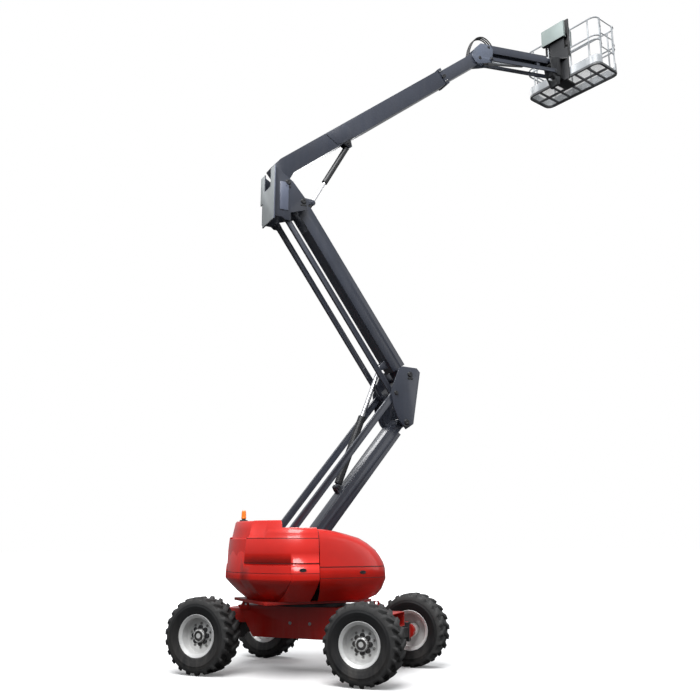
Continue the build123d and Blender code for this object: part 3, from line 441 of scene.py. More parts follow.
def road_dust_group():
    """Mask of dust: thick near the ground and on ledges, thin higher up, run down in streaks."""
    tree, into, out = group(
        "Road dust",
        [("Top", "NodeSocketFloat", 1.6), ("Amount", "NodeSocketFloat", 0.5)],
        [("Mask", "NodeSocketFloat")],
    )
    coords = add(tree, "TexCoord")
    split = add(tree, "SeparateXYZ")
    stretch = add(tree, "Mapping", Scale=(7.0, 7.0, 0.8))
    geometry = add(tree, "NewGeometry")
    normal = add(tree, "SeparateXYZ")
    wire(
        tree,
        (coords.outputs["Object"], split.inputs[0]),
        (coords.outputs["Object"], stretch.inputs["Vector"]),
        (geometry.outputs["Normal"], normal.inputs[0]),
    )
    share = math_node(tree, "DIVIDE", split.outputs["Z"], into.outputs["Top"])
    low = math_node(tree, "SUBTRACT", 1.0, share, clamp=True)
    streak = steps(tree, noise_node(tree, stretch.outputs["Vector"], 1.0, 6.0, 0.65), 0.35, 0.7)
    ledge = math_node(tree, "MULTIPLY", steps(tree, normal.outputs["Z"], 0.6, 1.0), 0.5)
    ground = math_node(tree, "MULTIPLY", math_node(tree, "MULTIPLY", low, low), streak)
    both = math_node(tree, "ADD", ground, math_node(tree, "MULTIPLY", ledge, streak))
    wire(tree, (math_node(tree, "MULTIPLY", both, into.outputs["Amount"], clamp=True), out.inputs["Mask"]))
    return tree


def cast_skin_group():
    """Pebbled height of rubber and cast iron, and a tone that follows it."""
    tree, into, out = group(
        "Cast skin",
        [("Scale", "NodeSocketFloat", 160.0)],
        [("Height", "NodeSocketFloat"), ("Tone", "NodeSocketFloat")],
    )
    coords = add(tree, "TexCoord")
    cells = add(tree, "TexVoronoi")
    wire(
        tree,
        (coords.outputs["Object"], cells.inputs["Vector"]),
        (into.outputs["Scale"], cells.inputs["Scale"]),
        (cells.outputs["Distance"], out.inputs["Height"]),
    )
    wire(tree, (steps(tree, noise_node(tree, coords.outputs["Object"], 3.5, 6.0), 0.3, 0.7),
        out.inputs["Tone"]))
    return tree


def use(tree, name, **values):
    node = add(tree, "Group")
    node.node_tree = bpy.data.node_groups[name]
    for label, value in values.items():
        node.inputs[label].default_value = value
    return node


def colour_mix(tree, factor, a, b):
    """Mix of two colours, each a tuple or a socket."""
    node = add(tree, "Mix")
    node.data_type = "RGBA"
    colours = [socket for socket in node.inputs if socket.type == "RGBA"]
    if isinstance(factor, (float, int)):
        node.inputs[0].default_value = factor
    else:
        tree.links.new(factor, node.inputs[0])
    for socket, value in zip(colours, (a, b)):
        if isinstance(value, tuple):
            socket.default_value = (*value, 1)
        else:
            tree.links.new(value, socket)
    return next(socket for socket in node.outputs if socket.type == "RGBA")


def shade(colour, factor):
    return tuple(min(1.0, c * factor) for c in colour)


def started(name):
    """A new material with its node tree and main shader."""
    mat = bpy.data.materials.new(name)
    mat.use_nodes = True
    return mat, mat.node_tree, mat.node_tree.nodes["Principled BSDF"]


def textured(tree, shader, colour, height, rounding_and_highlight, strength):
    """Wire a colour, and a height over the eased edges, into the main shader."""
    bump = add(tree, "Bump", Strength=strength, Distance=0.002)
    wire(
        tree,
        (colour, shader.inputs["Base Color"]),
        (height, bump.inputs["Height"]),
        (rounding_and_highlight.outputs["Normal"], bump.inputs["Normal"]),
        (bump.outputs["Normal"], shader.inputs["Normal"]),
    )


def painted(name, colour, roughness, coat=0.0, edge=None, dust=0.4, dust_top=1.8, radius=0.004,
    metallic=0.0, grain=0.02):
    """Sprayed or plated steel: slow tone, a lighter colour painted on the edges as a highlight, dust and a fine
    grain.
    """
    mat, tree, shader = started(name)
    film = use(tree, "Paint film")
    rounding_and_highlight = use(tree, "Edge rounding and highlight", Radius=radius)
    soil = use(tree, "Road dust", Top=dust_top, Amount=dust)
    colour = tuple(colour)
    base = colour_mix(tree, film.outputs["Tone"], shade(colour, 0.9), shade(colour, 1.1))
    # Painted highlight: the edges take a lighter colour than the paint.
    highlighted = colour_mix(tree, rounding_and_highlight.outputs["Edge"], base, tuple(edge) if edge else shade(colour, 1.5))
    dusty = colour_mix(tree, soil.outputs["Mask"], highlighted, (0.30, 0.27, 0.23))
    rough = math_node(tree, "ADD", math_node(tree, "MULTIPLY", soil.outputs["Mask"], 0.5), roughness,
        clamp=True)
    wire(tree, (rough, shader.inputs["Roughness"]))
    textured(tree, shader, dusty, film.outputs["Height"], rounding_and_highlight, grain)
    shader.inputs["Metallic"].default_value = metallic
    shader.inputs["Coat Weight"].default_value = coat
    shader.inputs["Coat Roughness"].default_value = 0.08
    return mat


def pebbled(name, colour, roughness, scale, depth, dust=0.5, dust_top=1.1):
    """Rubber, moulded plastic or rough casting."""
    mat, tree, shader = started(name)
    skin = use(tree, "Cast skin", Scale=scale)
    soil = use(tree, "Road dust", Top=dust_top, Amount=dust)
    rounding_and_highlight = use(tree, "Edge rounding and highlight", Radius=0.003)
    base = colour_mix(tree, skin.outputs["Tone"], shade(tuple(colour), 0.8), shade(tuple(colour), 1.25))
    dusty = colour_mix(tree, soil.outputs["Mask"], base, (0.22, 0.2, 0.18))
    textured(tree, shader, dusty, skin.outputs["Height"], rounding_and_highlight, depth)
    shader.inputs["Roughness"].default_value = roughness
    return mat


def dress(node, mat):
    obj = frame["nodes"][node]
    obj.data.materials.clear()
    obj.data.materials.append(bpy.data.materials[mat])


class LIFT_OT_finishes(bpy.types.Operator):
    """Make the finishes and give every solid of the machine its own"""

    bl_idname = "lift.finishes"
    bl_label = "Finishes"

    def execute(self, context):
        paint = settings("lift_paint")
        edge_rounding_and_highlight_group()
        paint_film_group()
        road_dust_group()
        cast_skin_group()
        # Each edge colour is lighter than its paint: a painted highlight on the edges.
        painted("red_enamel", paint.body_red, 0.3, coat=0.4, edge=(0.8, 0.05, 0.025), dust=0.06, radius=0.006)
        # A dark red for the painted shade in the creases of the covers.
        painted("red_shadow", shade(tuple(paint.body_red), 0.16), 0.4, dust=0.2)
        # The body red darkened: painted shade on the chassis and the turret frame.
        painted("red_in_painted_shade", shade(tuple(paint.body_red), 0.72), 0.34, coat=0.3, dust=0.4, dust_top=1.1,
            radius=0.006)
        painted("boom_grey", paint.boom_grey, 0.3, coat=0.3, edge=(0.055, 0.064, 0.082), dust=0.05,
            dust_top=30.0, radius=0.005)
        # Pale grey of the plugs, and a painted highlight on the head's rear faces.
        painted("pale_grey_and_painted_highlight", paint.pale_grey_and_painted_highlight, 0.4, dust=0.2, dust_top=30.0)
        # The arm grey lightened: a painted highlight on the head's side pads.
        painted("pad_painted_highlight", shade(tuple(paint.boom_grey), 3.2), 0.35, dust=0.1, dust_top=30.0)
        painted("base_blue", (0.075, 0.09, 0.125), 0.34, coat=0.2, dust=0.1, dust_top=30.0)
        painted("frame_grey", (0.09, 0.095, 0.1), 0.4, dust=0.1, dust_top=30.0)
        painted("mesh_pale", (0.62, 0.64, 0.65), 0.4, dust=0.1, dust_top=30.0)
        painted("rail_grey", paint.rail_grey, 0.36, coat=0.2, dust=0.15, dust_top=30.0)
        painted("console_paint", (0.27, 0.32, 0.31), 0.42, dust=0.15, dust_top=30.0)
        painted("dark_steel", (0.016, 0.017, 0.019), 0.42, edge=(0.09, 0.09, 0.09), dust=0.3)
        painted("rim_silver", (0.22, 0.25, 0.30), 0.42, dust=0.04, dust_top=1.1)
        painted("zinc_bolt", (0.34, 0.34, 0.33), 0.32, metallic=0.8, dust=0.25)
        painted("bright_rod", (0.78, 0.79, 0.8), 0.1, metallic=1.0, dust=0.05, grain=0.0)
        pebbled("tread_rubber", (0.0065, 0.007, 0.008), 0.6, 150.0, 0.25, dust=0.35)
        pebbled("sidewall_rubber", (0.008, 0.0085, 0.0095), 0.5, 260.0, 0.1, dust=0.3)
        pebbled("hose_rubber", (0.01, 0.01, 0.011), 0.45, 300.0, 0.08, dust=0.1)
        pebbled("black_plastic", (0.014, 0.014, 0.015), 0.4, 320.0, 0.08, dust=0.15)
        painted("amber_lens", (0.85, 0.24, 0.012), 0.14, coat=0.8, dust=0.05)
        painted("signal_red", (0.55, 0.012, 0.01), 0.25, coat=0.5, dust=0.05)
        lens = bpy.data.materials["amber_lens"].node_tree.nodes["Principled BSDF"]
        lens.inputs["Transmission Weight"].default_value = 0.35
        lens.inputs["Emission Color"].default_value = (1.0, 0.3, 0.02, 1)
        lens.inputs["Emission Strength"].default_value = 0.25
        by_slot = {
            "red": "red_in_painted_shade", "red_shell": "red_enamel", "red_cast": "red_enamel",
            "arm_grey": "boom_grey", "light_grey": "rail_grey", "console_grey": "console_paint",
            "dark_metal": "dark_steel", "dark_cast": "dark_steel", "rim_silver": "rim_silver",
            "tread_rubber": "tread_rubber", "bright_rod": "bright_rod", "amber": "amber_lens",
        }
        for part in frame["record"]["subparts"]:
            dress(part["node"], by_slot[part["material_slot"]])
        dress("jib_base", "base_blue")
        # The turret frame takes the darkened body red of painted shade.
        dress("turret_frame", "red_in_painted_shade")
        return {"FINISHED"}


# ---- softened solids ------------------------------------------------------------------------------
PLATEWORK = (
    "turret_frame", "chassis_frame", "axles", "lower_arm", "lower_links", "elbow_frame",
    "upper_arm", "upper_links", "top_knuckle", "boom_outer", "boom_inner", "jib_base", "jib_arm", "jib_links",
    "jib_end", "basket_mount", "console",
)
COVERS = ("counterweight", "tail_cowls", "nose_hood_left", "nose_hood_right")


def softened(node, width, smooth, segments=2):
    """Merged copy of a solid with eased edges and smooth round faces, shown in its place."""
    mat = frame["nodes"][node].data.materials[0].name
    obj = copy_of_node(node, f"soft_{node}")
    if width:
        chamfer(obj, width, segments, 35.0)
    smoothed(obj, smooth)
    done(obj, body_of_node(node), mat)
    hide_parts(node)
    return obj


class LIFT_OT_castings(bpy.types.Operator):
    """Ease the edges of the frames, arms and plates, and smooth the moulded covers"""

    bl_idname = "lift.castings"
    bl_label = "Eased solids"

    def execute(self, context):
        detail = settings("lift_detail")
        for node in PLATEWORK:
            softened(node, detail.paint_edge, 30.0)
        for node in COVERS:
            softened(node, 0.0, 38.0)
        return {"FINISHED"}


# ---- wheels ----------------------------------------------------------------------------------------
def nut_and_stud(name, radius=0.017):
    """Wheel nut with its washer face and the stud's end."""
    return lathe(
        name,
        [(radius * 1.25, 0.0), (radius * 1.25, 0.003), (radius, 0.004), (radius, 0.016),
         (radius * 0.8, 0.019), (radius * 0.45, 0.019), (radius * 0.45, 0.027), (radius * 0.3, 0.029)],
        sides=6,
    )


def wheel_centre(corner):
    return pivot(f"spin_{corner}")


def outward(corner):
    return wheel_axis if corner.endswith("left") else -wheel_axis


class LIFT_OT_tyres(bpy.types.Operator):
    """Tyres with eased lugs, smooth sidewalls and two raised rings on each side"""

    bl_idname = "lift.tyres"
    bl_label = "Tyres"

    def execute(self, context):
        for corner in CORNERS:
            softened(f"tyre_{corner}", 0.004, 40.0, 1)
        wall = lathe(
            "sidewall",
            [(0.300, 0.1715), (0.312, 0.1800), (0.322, 0.1815), (0.330, 0.1850), (0.340, 0.1860),
             (0.352, 0.1900), (0.384, 0.2003), (0.398, 0.2012), (0.404, 0.2040), (0.412, 0.2040),
             (0.418, 0.2008), (0.446, 0.1990), (0.446, 0.1960), (0.384, 0.1960), (0.300, 0.1665),
             (0.300, 0.1715)],
            sides=88,
            ring=True,
        )
        for corner in CORNERS:
            for side, way in (("out", 1), ("in", -1)):
                place = axis_frame(wheel_centre(corner), outward(corner) * way)
                piece = again(wall, f"sidewall_{side}_{corner}", place)
                smoothed(piece, 45)
                done(piece, f"wheel_{corner}", "sidewall_rubber")
        bpy.data.objects.remove(wall)
        return {"FINISHED"}


class LIFT_OT_rims(bpy.types.Operator):
    """Rims turned in one piece, with a rolled lip, hub, wheel nuts and valve"""

    bl_idname = "lift.rims"
    bl_label = "Rims and hubs"

    def execute(self, context):
        dish = lathe(
            "dish",
            [(0.286, 0.1725), (0.291, 0.1765), (0.2965, 0.1755), (0.2985, 0.1700), (0.2955, 0.1660),
             (0.2500, 0.1500), (0.2485, 0.1480), (0.2480, 0.0330), (0.2440, 0.0262), (0.2380, 0.0245),
             (0.2050, 0.0262), (0.2000, 0.0300), (0.1400, 0.0470), (0.1260, 0.0560), (0.1000, 0.0600),
             (0.0990, 0.0560), (0.1250, 0.0500), (0.2000, 0.0215), (0.2470, 0.0215), (0.2505, 0.0300),
             (0.2520, 0.1500), (0.286, 0.1725)],
            sides=72,
            ring=True,
        )
        smoothed(dish, 32)
        star = lathe(
            "star",
            [(0.036, 0.0), (0.036, 0.024), (0.030, 0.030), (0.004, 0.030)],
            20,
        )
        hub = lathe(
            "hub",
            [(0.104, 0.052), (0.104, 0.064), (0.100, 0.068), (0.097, 0.070), (0.095, 0.096),
             (0.092, 0.101), (0.080, 0.104), (0.070, 0.113), (0.066, 0.1178), (0.040, 0.1184),
             (0.034, 0.1150), (0.010, 0.1150)],
        )
        smoothed(hub, 32)
        nut = nut_and_stud("wheel_nut")
        valve = lathe(
            "valve",
            [(0.010, 0.0), (0.010, 0.006), (0.006, 0.008), (0.005, 0.040), (0.0065, 0.041),
             (0.0065, 0.052)],
            12,
        )
        cap_bolt = lathe("cap_bolt", [(0.009, 0.0), (0.009, 0.006), (0.0075, 0.008)], 6)
        # piece, name, how many, first one's place in steps, radius, height, finish, slot
        rings = (
            (star, "hub_lobes", 8, 0.0, 0.108, 0.050, "dark_steel", "dark_metal"),
            (nut, "wheel_nuts", 10, 0.5, 0.166, 0.039, "zinc_bolt", "bright_rod"),
            (cap_bolt, "hub_bolts", 8, 0.0, 0.083, 0.1015, "zinc_bolt", "bright_rod"),
        )
        for corner in CORNERS:
            body = f"wheel_{corner}"
            base = axis_frame(wheel_centre(corner), outward(corner))
            done(again(dish, f"rim_face_{corner}", base), body, "rim_silver")
            done(again(hub, f"hub_{corner}", base), body, "dark_steel")
            for part, name, count, first, radius, height, mat, slot_name in rings:
                spots = around(base, count, first, radius, height)
                copies = [again(part, f"{name}_{corner}_{i}", spot) for i, spot in enumerate(spots)]
                done(joined(copies, f"{name}_{corner}"), body, mat)
            stem = again(valve, f"valve_{corner}",
                base @ Matrix.Rotation(0.3, 4, "Z") @ Matrix.Translation((0.226, 0, 0.026)))
            done(stem, body, "black_plastic")
        for obj in (dish, hub, star, nut, valve, cap_bolt):
            bpy.data.objects.remove(obj)
        return {"FINISHED"}


# ---- pins ------------------------------------------------------------------------------------------
def pin_head(name, radius, height):
    """Head of a pin: washer, chamfered boss and a grease nipple's seat."""
    return lathe(
        name,
        [(radius * 1.2, 0.0), (radius * 1.2, height * 0.28), (radius * 1.14, height * 0.4),
         (radius * 1.0, height * 0.4), (radius * 1.0, height * 0.85), (radius * 0.92, height),
         (radius * 0.3, height), (radius * 0.26, height * 0.8), (radius * 0.05, height * 0.8)],
        sides=36,
    )


def keeper(name, length, width):
    """Keeper plate with rounded ends beside a pin's head, held by two screws."""
    plate = panel_box(name, (length, 0.006, width), edge=0.0018)
    screws = [lathe("screw", [(0.008, 0.0), (0.008, 0.005), (0.0065, 0.007)], 6) for _ in range(2)]
    for way, screw in zip((-1, 1), screws):
        beside = Matrix.Translation((way * length * 0.32, -0.003, 0))
        applied(screw, beside @ Matrix.Rotation(pi / 2, 4, "X"))
    return joined([plate, *screws], name)


def pin_table():
    """(name, point, half width over the plates, pin radius, body, head height)"""
    return (
        ("lower_arm_foot", pivot("arms_raise"), 0.360, 0.040, "turret", 0.022),
        ("lower_arm_head", pivot("elbow_turn"), 0.329, 0.040, "elbow", 0.022),
        ("link_middle", pivot("upper_link_turn"), 0.329, 0.030, "elbow", 0.018),
        ("upper_arm_foot", pivot("upper_arm_turn"), 0.329, 0.040, "elbow", 0.022),
        ("upper_arm_head", pivot("top_knuckle_turn"), 0.253, 0.040, "top_knuckle", 0.022),
        ("boom_foot", pivot("boom_lift"), 0.253, 0.040, "top_knuckle", 0.022),
        ("boom_cylinder_foot", pivot("boom_barrel_turn"), 0.068, 0.030, "boom_outer", 0.016),
        ("arm_cylinder_foot", pivot("arm_barrel_turn"), 0.068, 0.030, "lower_arm", 0.016),
        ("jib_base_pin", pivot("jib_level"), 0.112, 0.030, "jib_base", 0.006),
        ("jib_foot", pivot("jib_lift"), 0.112, 0.024, "jib_base", 0.006),
        ("jib_head", pivot("jib_end_turn"), 0.112, 0.024, "jib_end", 0.006),
        ("jib_link_foot", pivot("jib_link_turn"), 0.147, 0.024, "jib_base", 0.010),
    )


class LIFT_OT_pins(bpy.types.Operator):
    """Heads on both ends of every hinge pin, with a keeper plate beside the large ones"""

    bl_idname = "lift.pins"
    bl_label = "Pin heads"

    def execute(self, context):
        for name, point, half, radius, body, height in pin_table():
            head = pin_head("head", radius, height)
            smoothed(head, 30)
            spots = [axis_frame(point + Vector((0, way * half, 0)), (0, way, 0)) for way in (-1, 1)]
            repeated(head, spots, f"pin_{name}", body, "dark_steel")
            if radius > 0.035:
                plate = keeper("keeper", radius * 2.6, 0.028)
                places = []
                for way in (-1, 1):
                    turn = Matrix.Rotation(0 if way < 0 else pi, 4, "Z")
                    spot = point + Vector((0, way * (half + 0.003), -radius * 1.75))
                    places.append(Matrix.Translation(spot) @ turn)
                repeated(plate, places, f"keeper_{name}", body, "dark_steel")
        return {"FINISHED"}


# ---- turret ------------------------------------------------------------------------------------------
def turret_point(x, y, z):
    """Row point from metres counted from the slew axis, along the boom, left and up."""
    return SLEW @ Vector((x, y, z))


class LIFT_OT_tail_wall(bpy.types.Operator):
    """Curved wall that joins both cowls behind the arms' slot"""

    bl_idname = "lift.tail_wall"
    bl_label = "Tail wall"

    def execute(self, context):
        section = (
            (1.262, 1.480), (1.2685, 1.540), (1.2625, 1.700), (1.2445, 1.889), (1.214, 1.893),
            (1.187, 2.020), (1.165, 2.122), (1.150, 2.140), (1.138, 2.144), (1.114, 2.140),
            (1.114, 1.700),
        )
        clear()
        bpy.ops.mesh.primitive_plane_add(size=0.02)
        wall = context.object
        wall.name = "tail_wall"
        bpy.ops.object.mode_set(mode="EDIT")
        bpy.ops.mesh.select_mode(type="VERT")
        bpy.ops.mesh.select_all(action="SELECT")
        bpy.ops.mesh.merge(type="CENTER")
        radius, height = section[0]
        bpy.ops.transform.translate(value=(-radius, 0, height))
        for (ra, za), (rb, zb) in zip(section, section[1:]):
            bpy.ops.mesh.extrude_vertices_move(TRANSFORM_OT_translate={"value": (ra - rb, 0, zb - za)})
        half = radians(18.2)
        bpy.ops.mesh.select_all(action="SELECT")
        bpy.ops.transform.rotate(value=-half, orient_axis="Z", center_override=(0, 0, 0))
        bpy.ops.mesh.spin(steps=10, angle=2 * half, center=(0, 0, 0), axis=(0, 0, 1))
        bpy.ops.mesh.select_all(action="SELECT")
        bpy.ops.mesh.remove_doubles(threshold=0.0001)
        bpy.ops.mesh.normals_make_consistent(inside=False)
        bpy.ops.object.mode_set(mode="OBJECT")
        reach = [(v.co.x ** 2 + v.co.y ** 2) ** 0.5 for v in wall.data.vertices]
        if max(reach) > 1.3 or min(v.co.x for v in wall.data.vertices) > -1.0:
            raise RuntimeError("the tail wall was spun to the wrong place")
        settle(wall, SLEW, 32)
        done(wall, "turret", "red_enamel")
        return {"FINISHED"}


class LIFT_OT_cover_lines(bpy.types.Operator):
    """Painted shade: dark strips along the creases of the cowls, the hoods and the counterweight"""

    bl_idname = "lift.cover_lines"
    bl_label = "Cover lines"

    def execute(self, context):
        up, down = (0, 0, 1), (0, 0, -1)
        # solid, name, lower and upper edge, how proud
        lines = (
            ("tail_cowls", "tail_crease", 1.548, 1.566, 0.0008),
            ("tail_cowls", "tail_rib", 1.420, 1.428, 0.0006),
            ("tail_cowls", "tail_lid", 1.893, 1.903, 0.0006),
            ("nose_hood_left", "hood_crease_left", 1.500, 1.514, 0.0008),
            ("nose_hood_right", "hood_crease_right", 1.500, 1.514, 0.0008),
            ("nose_hood_left", "hood_rib_left", 1.352, 1.360, 0.0006),
            ("nose_hood_right", "hood_rib_right", 1.352, 1.360, 0.0006),
            ("counterweight", "weight_rib", 1.420, 1.428, 0.0006),
        )
        # Each strip is painted shade in a crease.
        for node, name, low, high, lift in lines:
            strip = band(node, name, [((0, 0, high), up), ((0, 0, low), down)], lift)
            smoothed(strip, 38)
            done(strip, body_of_node(node), "red_shadow")
        return {"FINISHED"}


def on_surface(obj, start, towards):
    """Frame on the first face of obj that a ray meets, with Z along the face's normal and X level."""
    direction = (Vector(towards) - Vector(start)).normalized()
    hit, spot, normal, _ = obj.ray_cast(Vector(start), direction)
    if not hit:
        raise RuntimeError(f"{obj.name}: the ray from {start} meets nothing")
    z = normal
    x = Vector((0, 0, 1)).cross(z).normalized()
    y = z.cross(x)
    return Matrix.Translation(spot) @ Matrix((x, y, z)).transposed().to_4x4()


class LIFT_OT_latches(bpy.types.Operator):
    """Oval paddle latches, one on each nose hood and cowl"""

    bl_idname = "lift.latches"
    bl_label = "Latches"

    def execute(self, context):
        cup = lathe(
            "cup",
            [(0.040, -0.004), (0.040, 0.003), (0.036, 0.005), (0.030, 0.005), (0.027, 0.0015),
             (0.004, 0.0015)],
        )
        paddle = panel_box("paddle", (0.036, 0.017, 0.004), edge=0.0015)
        applied(paddle, Matrix.Translation((0, 0, 0.0035)))
        latch = joined([cup, paddle], "latch")
        pick(latch)
        bpy.ops.object.mode_set(mode="EDIT")
        bpy.ops.mesh.select_all(action="SELECT")
        bpy.ops.transform.resize(value=(1.25, 0.62, 1), center_override=(0, 0, 0))
        bpy.ops.object.mode_set(mode="OBJECT")
        bpy.ops.object.shade_smooth_by_angle(angle=radians(35))
        for way, side in ((-1, "right"), (1, "left")):
            for node, x, z in ((f"nose_hood_{side}", 0.30, 1.43), ("tail_cowls", -0.62, 1.47)):
                shown = bpy.data.objects[f"soft_{node}"]
                spot = on_surface(shown, turret_point(x, way * 1.6, z), turret_point(x, 0, z))
                piece = again(latch, f"latch_{node}_{side}", spot)
                done(piece, body_of_node(node), "black_plastic")
        bpy.data.objects.remove(latch)
        return {"FINISHED"}


class LIFT_OT_beacon_base(bpy.types.Operator):
    """Foot and lens of the amber beacon"""

    bl_idname = "lift.beacon_base"
    bl_label = "Beacon"

    def execute(self, context):
        low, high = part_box("beacon")
        middle = (low + high) / 2
        tall = high.z - low.z
        wide = (high.x - low.x) / 2
        base = Matrix.Translation((middle.x, middle.y, low.z))
        foot = lathe("foot", [(wide * 0.98, 0.0), (wide * 0.98, 0.018), (wide * 0.9, 0.024),
            (wide * 0.5, 0.026), (wide * 0.46, 0.05)])
        lens = lathe(
            "lens",
            [(wide * 0.56, 0.045), (wide * 0.62, 0.052), (wide * 0.62, 0.06), (wide * 0.57, 0.064),
             (wide * 0.54, tall * 0.72), (wide * 0.5, tall * 0.86), (wide * 0.4, tall * 0.95),
             (wide * 0.22, tall * 0.985), (wide * 0.05, tall * 0.992)],
        )
        done(settle(foot, base), "turret", "dark_steel")
        shade_piece = settle(lens, base)
        done(shade_piece, "turret", "amber_lens")
        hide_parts("beacon")
        return {"FINISHED"}


# ---- chassis ------------------------------------------------------------------------------------------
CHASSIS_TOP = 0.930
CHASSIS_SIDE = 0.455
RING_BOLTS_AT = 0.5
BOLT_SEAT = 0.0005              # how far a bolt's washer is let into the plate


class LIFT_OT_chassis_parts(bpy.types.Operator):
    """Bolts of the slew ring, and plugs in the chassis sides"""

    bl_idname = "lift.chassis_parts"
    bl_label = "Chassis parts"

    def execute(self, context):
        bolt = lathe("bolt", [(0.018, 0.0), (0.018, 0.004), (0.014, 0.005), (0.014, 0.017), (0.011, 0.020),
            (0.003, 0.020)], 6)
        ring = around(SLEW, 36, 0.5, RING_BOLTS_AT, CHASSIS_TOP - BOLT_SEAT)
        ring = [spot for spot in ring if abs((UNDER.inverted() @ spot.translation).y) < CHASSIS_SIDE - 0.025]
        repeated(bolt, ring, "ring_bolts", "chassis", "zinc_bolt")
        plug = lathe("plug", [(0.024, -0.001), (0.024, 0.004), (0.020, 0.007), (0.010, 0.007),
            (0.008, 0.004), (0.002, 0.004)], 28)
        spots = []
        for way in (-1, 1):
            for x in (-0.12, 0.20):
                spots.append(axis_frame(UNDER @ Vector((x, way * CHASSIS_SIDE, 0.70)),
                    UNDER.to_3x3() @ Vector((0, way, 0))))
        repeated(plug, spots, "side_plugs", "chassis", "pale_grey_and_painted_highlight")
        return {"FINISHED"}


# ---- arms -----------------------------------------------------------------------------------------------
def repaint(obj, mat, test):
    """Give the faces of a shown piece that pass the test a second finish."""
    obj.data.materials.append(bpy.data.materials[mat])
    number = len(obj.data.materials) - 1
    found = 0
    for face in obj.data.polygons:
        if test(face.center, face.normal):
            face.material_index = number
            found += 1
    if not found:
        raise RuntimeError(f"{obj.name}: no face for {mat}")
    return found


class LIFT_OT_head_paint(bpy.types.Operator):
    """Painted highlights: paler greys on the rear plate and side pads of the riser's head"""

    bl_idname = "lift.head_paint"
    bl_label = "Head paint"

    def execute(self, context):
        knuckle = bpy.data.objects["soft_top_knuckle"]
        low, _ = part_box("top_knuckle")
        # Painted highlight on the rear faces that look towards -X.
        repaint(knuckle, "pale_grey_and_painted_highlight", lambda c, n: n.x < -0.7 and c.x < low.x + 0.03)
        pad = pivot("boom_lift")
        # Painted highlight on the side faces of the pads.
        repaint(knuckle, "pad_painted_highlight", lambda c, n: abs(n.y) > 0.9 and abs(c.y) > 0.26 and c.x < pad.x)
        return {"FINISHED"}


class LIFT_OT_boom_fittings(bpy.types.Operator):
    """Screws and wear pads at the boom's collar"""

    bl_idname = "lift.boom_fittings"
    bl_label = "Boom fittings"

    def execute(self, context):
        screw = lathe("screw",
            [(0.015, 0.0), (0.015, 0.003), (0.011, 0.004), (0.011, 0.011), (0.009, 0.013), (0.002, 0.013)], 6)
        spots = []
        for way in (-1, 1):
            for x in (4.275, 4.325):
                for z in (0.16, 0.37):
                    spots.append(BOOM @ axis_frame(Vector((x, way * 0.135, z)), (0, way, 0)))
        repeated(screw, spots, "collar_screws", "boom_outer", "zinc_bolt")
        pad = panel_box("pad", (0.10, 0.012, 0.05), inset=0.008, sink=0.002, edge=0.002)
        spots = [
            BOOM @ Matrix.Translation((4.305, way * 0.1405, 0.263))
            @ Matrix.Rotation(0 if way < 0 else pi, 4, "Z")
            for way in (-1, 1)
        ]
        repeated(pad, spots, "wear_pads", "boom_outer", "dark_steel")
        return {"FINISHED"}


# ---- platform --------------------------------------------------------------------------------------------
BASKET_YAW = radians(12.0)
TREAD_X = (0.235, 0.885)        # from the rotator's axis, over the floor
TREAD_HALF = 0.855
TREAD_HEIGHT = 0.0505
SHEET_UNDERSIDE = 0.0478        # the solid's closed sheet starts above this
ROD = 0.005


def spread(low, high, count):
    """Evenly spaced values from low to high."""
    return [low + (high - low) * i / (count - 1) for i in range(count)]


def basket_frame():
    """Frame on the platform's turning axis at its floor, with X over the platform and Y along it."""
    spot = pivot("basket_turn")
    low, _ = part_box("basket_floor")
    return Matrix.Translation((spot.x, spot.y, low.z)) @ Matrix.Rotation(BASKET_YAW, 4, "Z")


class LIFT_OT_tread(bpy.types.Operator):
    """Open floor of the platform: its frame, and panels of pale expanded metal in two rows"""

    bl_idname = "lift.tread"
    bl_label = "Platform floor"

    def execute(self, context):
        base = basket_frame()
        low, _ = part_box("basket_floor")
        frame_only = copy_of_node("basket_floor", "floor_frame")
        bpy.ops.object.mode_set(mode="EDIT")
        bpy.ops.mesh.select_all(action="SELECT")
        cut = low.z + SHEET_UNDERSIDE
        bpy.ops.mesh.bisect(plane_co=(0, 0, cut), plane_no=(0, 0, 1), clear_outer=True, use_fill=True)
        bpy.ops.object.mode_set(mode="OBJECT")
        chamfer(frame_only, 0.002, 2, 35)
        done(frame_only, "platform", "frame_grey")
        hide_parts("basket_floor")
        x0, x1 = TREAD_X
        rod = panel_box("rod", (x1 - x0, ROD, ROD), edge=0.0008)
        spots = [((x0 + x1) / 2, y, TREAD_HEIGHT) for y in spread(-TREAD_HALF, TREAD_HALF, 56)]
        spots = [base @ Matrix.Translation(spot) for spot in spots]
        repeated(rod, spots, "tread_cross", "platform", "mesh_pale")
        strand = panel_box("strand", (ROD, 2 * TREAD_HALF, ROD), edge=0.0008)
        spots = [base @ Matrix.Translation((x, 0, TREAD_HEIGHT)) for x in spread(x0, x1, 24)]
        repeated(strand, spots, "tread_long", "platform", "mesh_pale")
        return {"FINISHED"}


class LIFT_OT_rail_tubes(bpy.types.Operator):
    """Smooth round rails and posts"""

    bl_idname = "lift.rail_tubes"
    bl_label = "Rails"

    def execute(self, context):
        for node in ("basket_rails", "entry_gate"):
            softened(node, 0.0, 50.0)
        return {"FINISHED"}


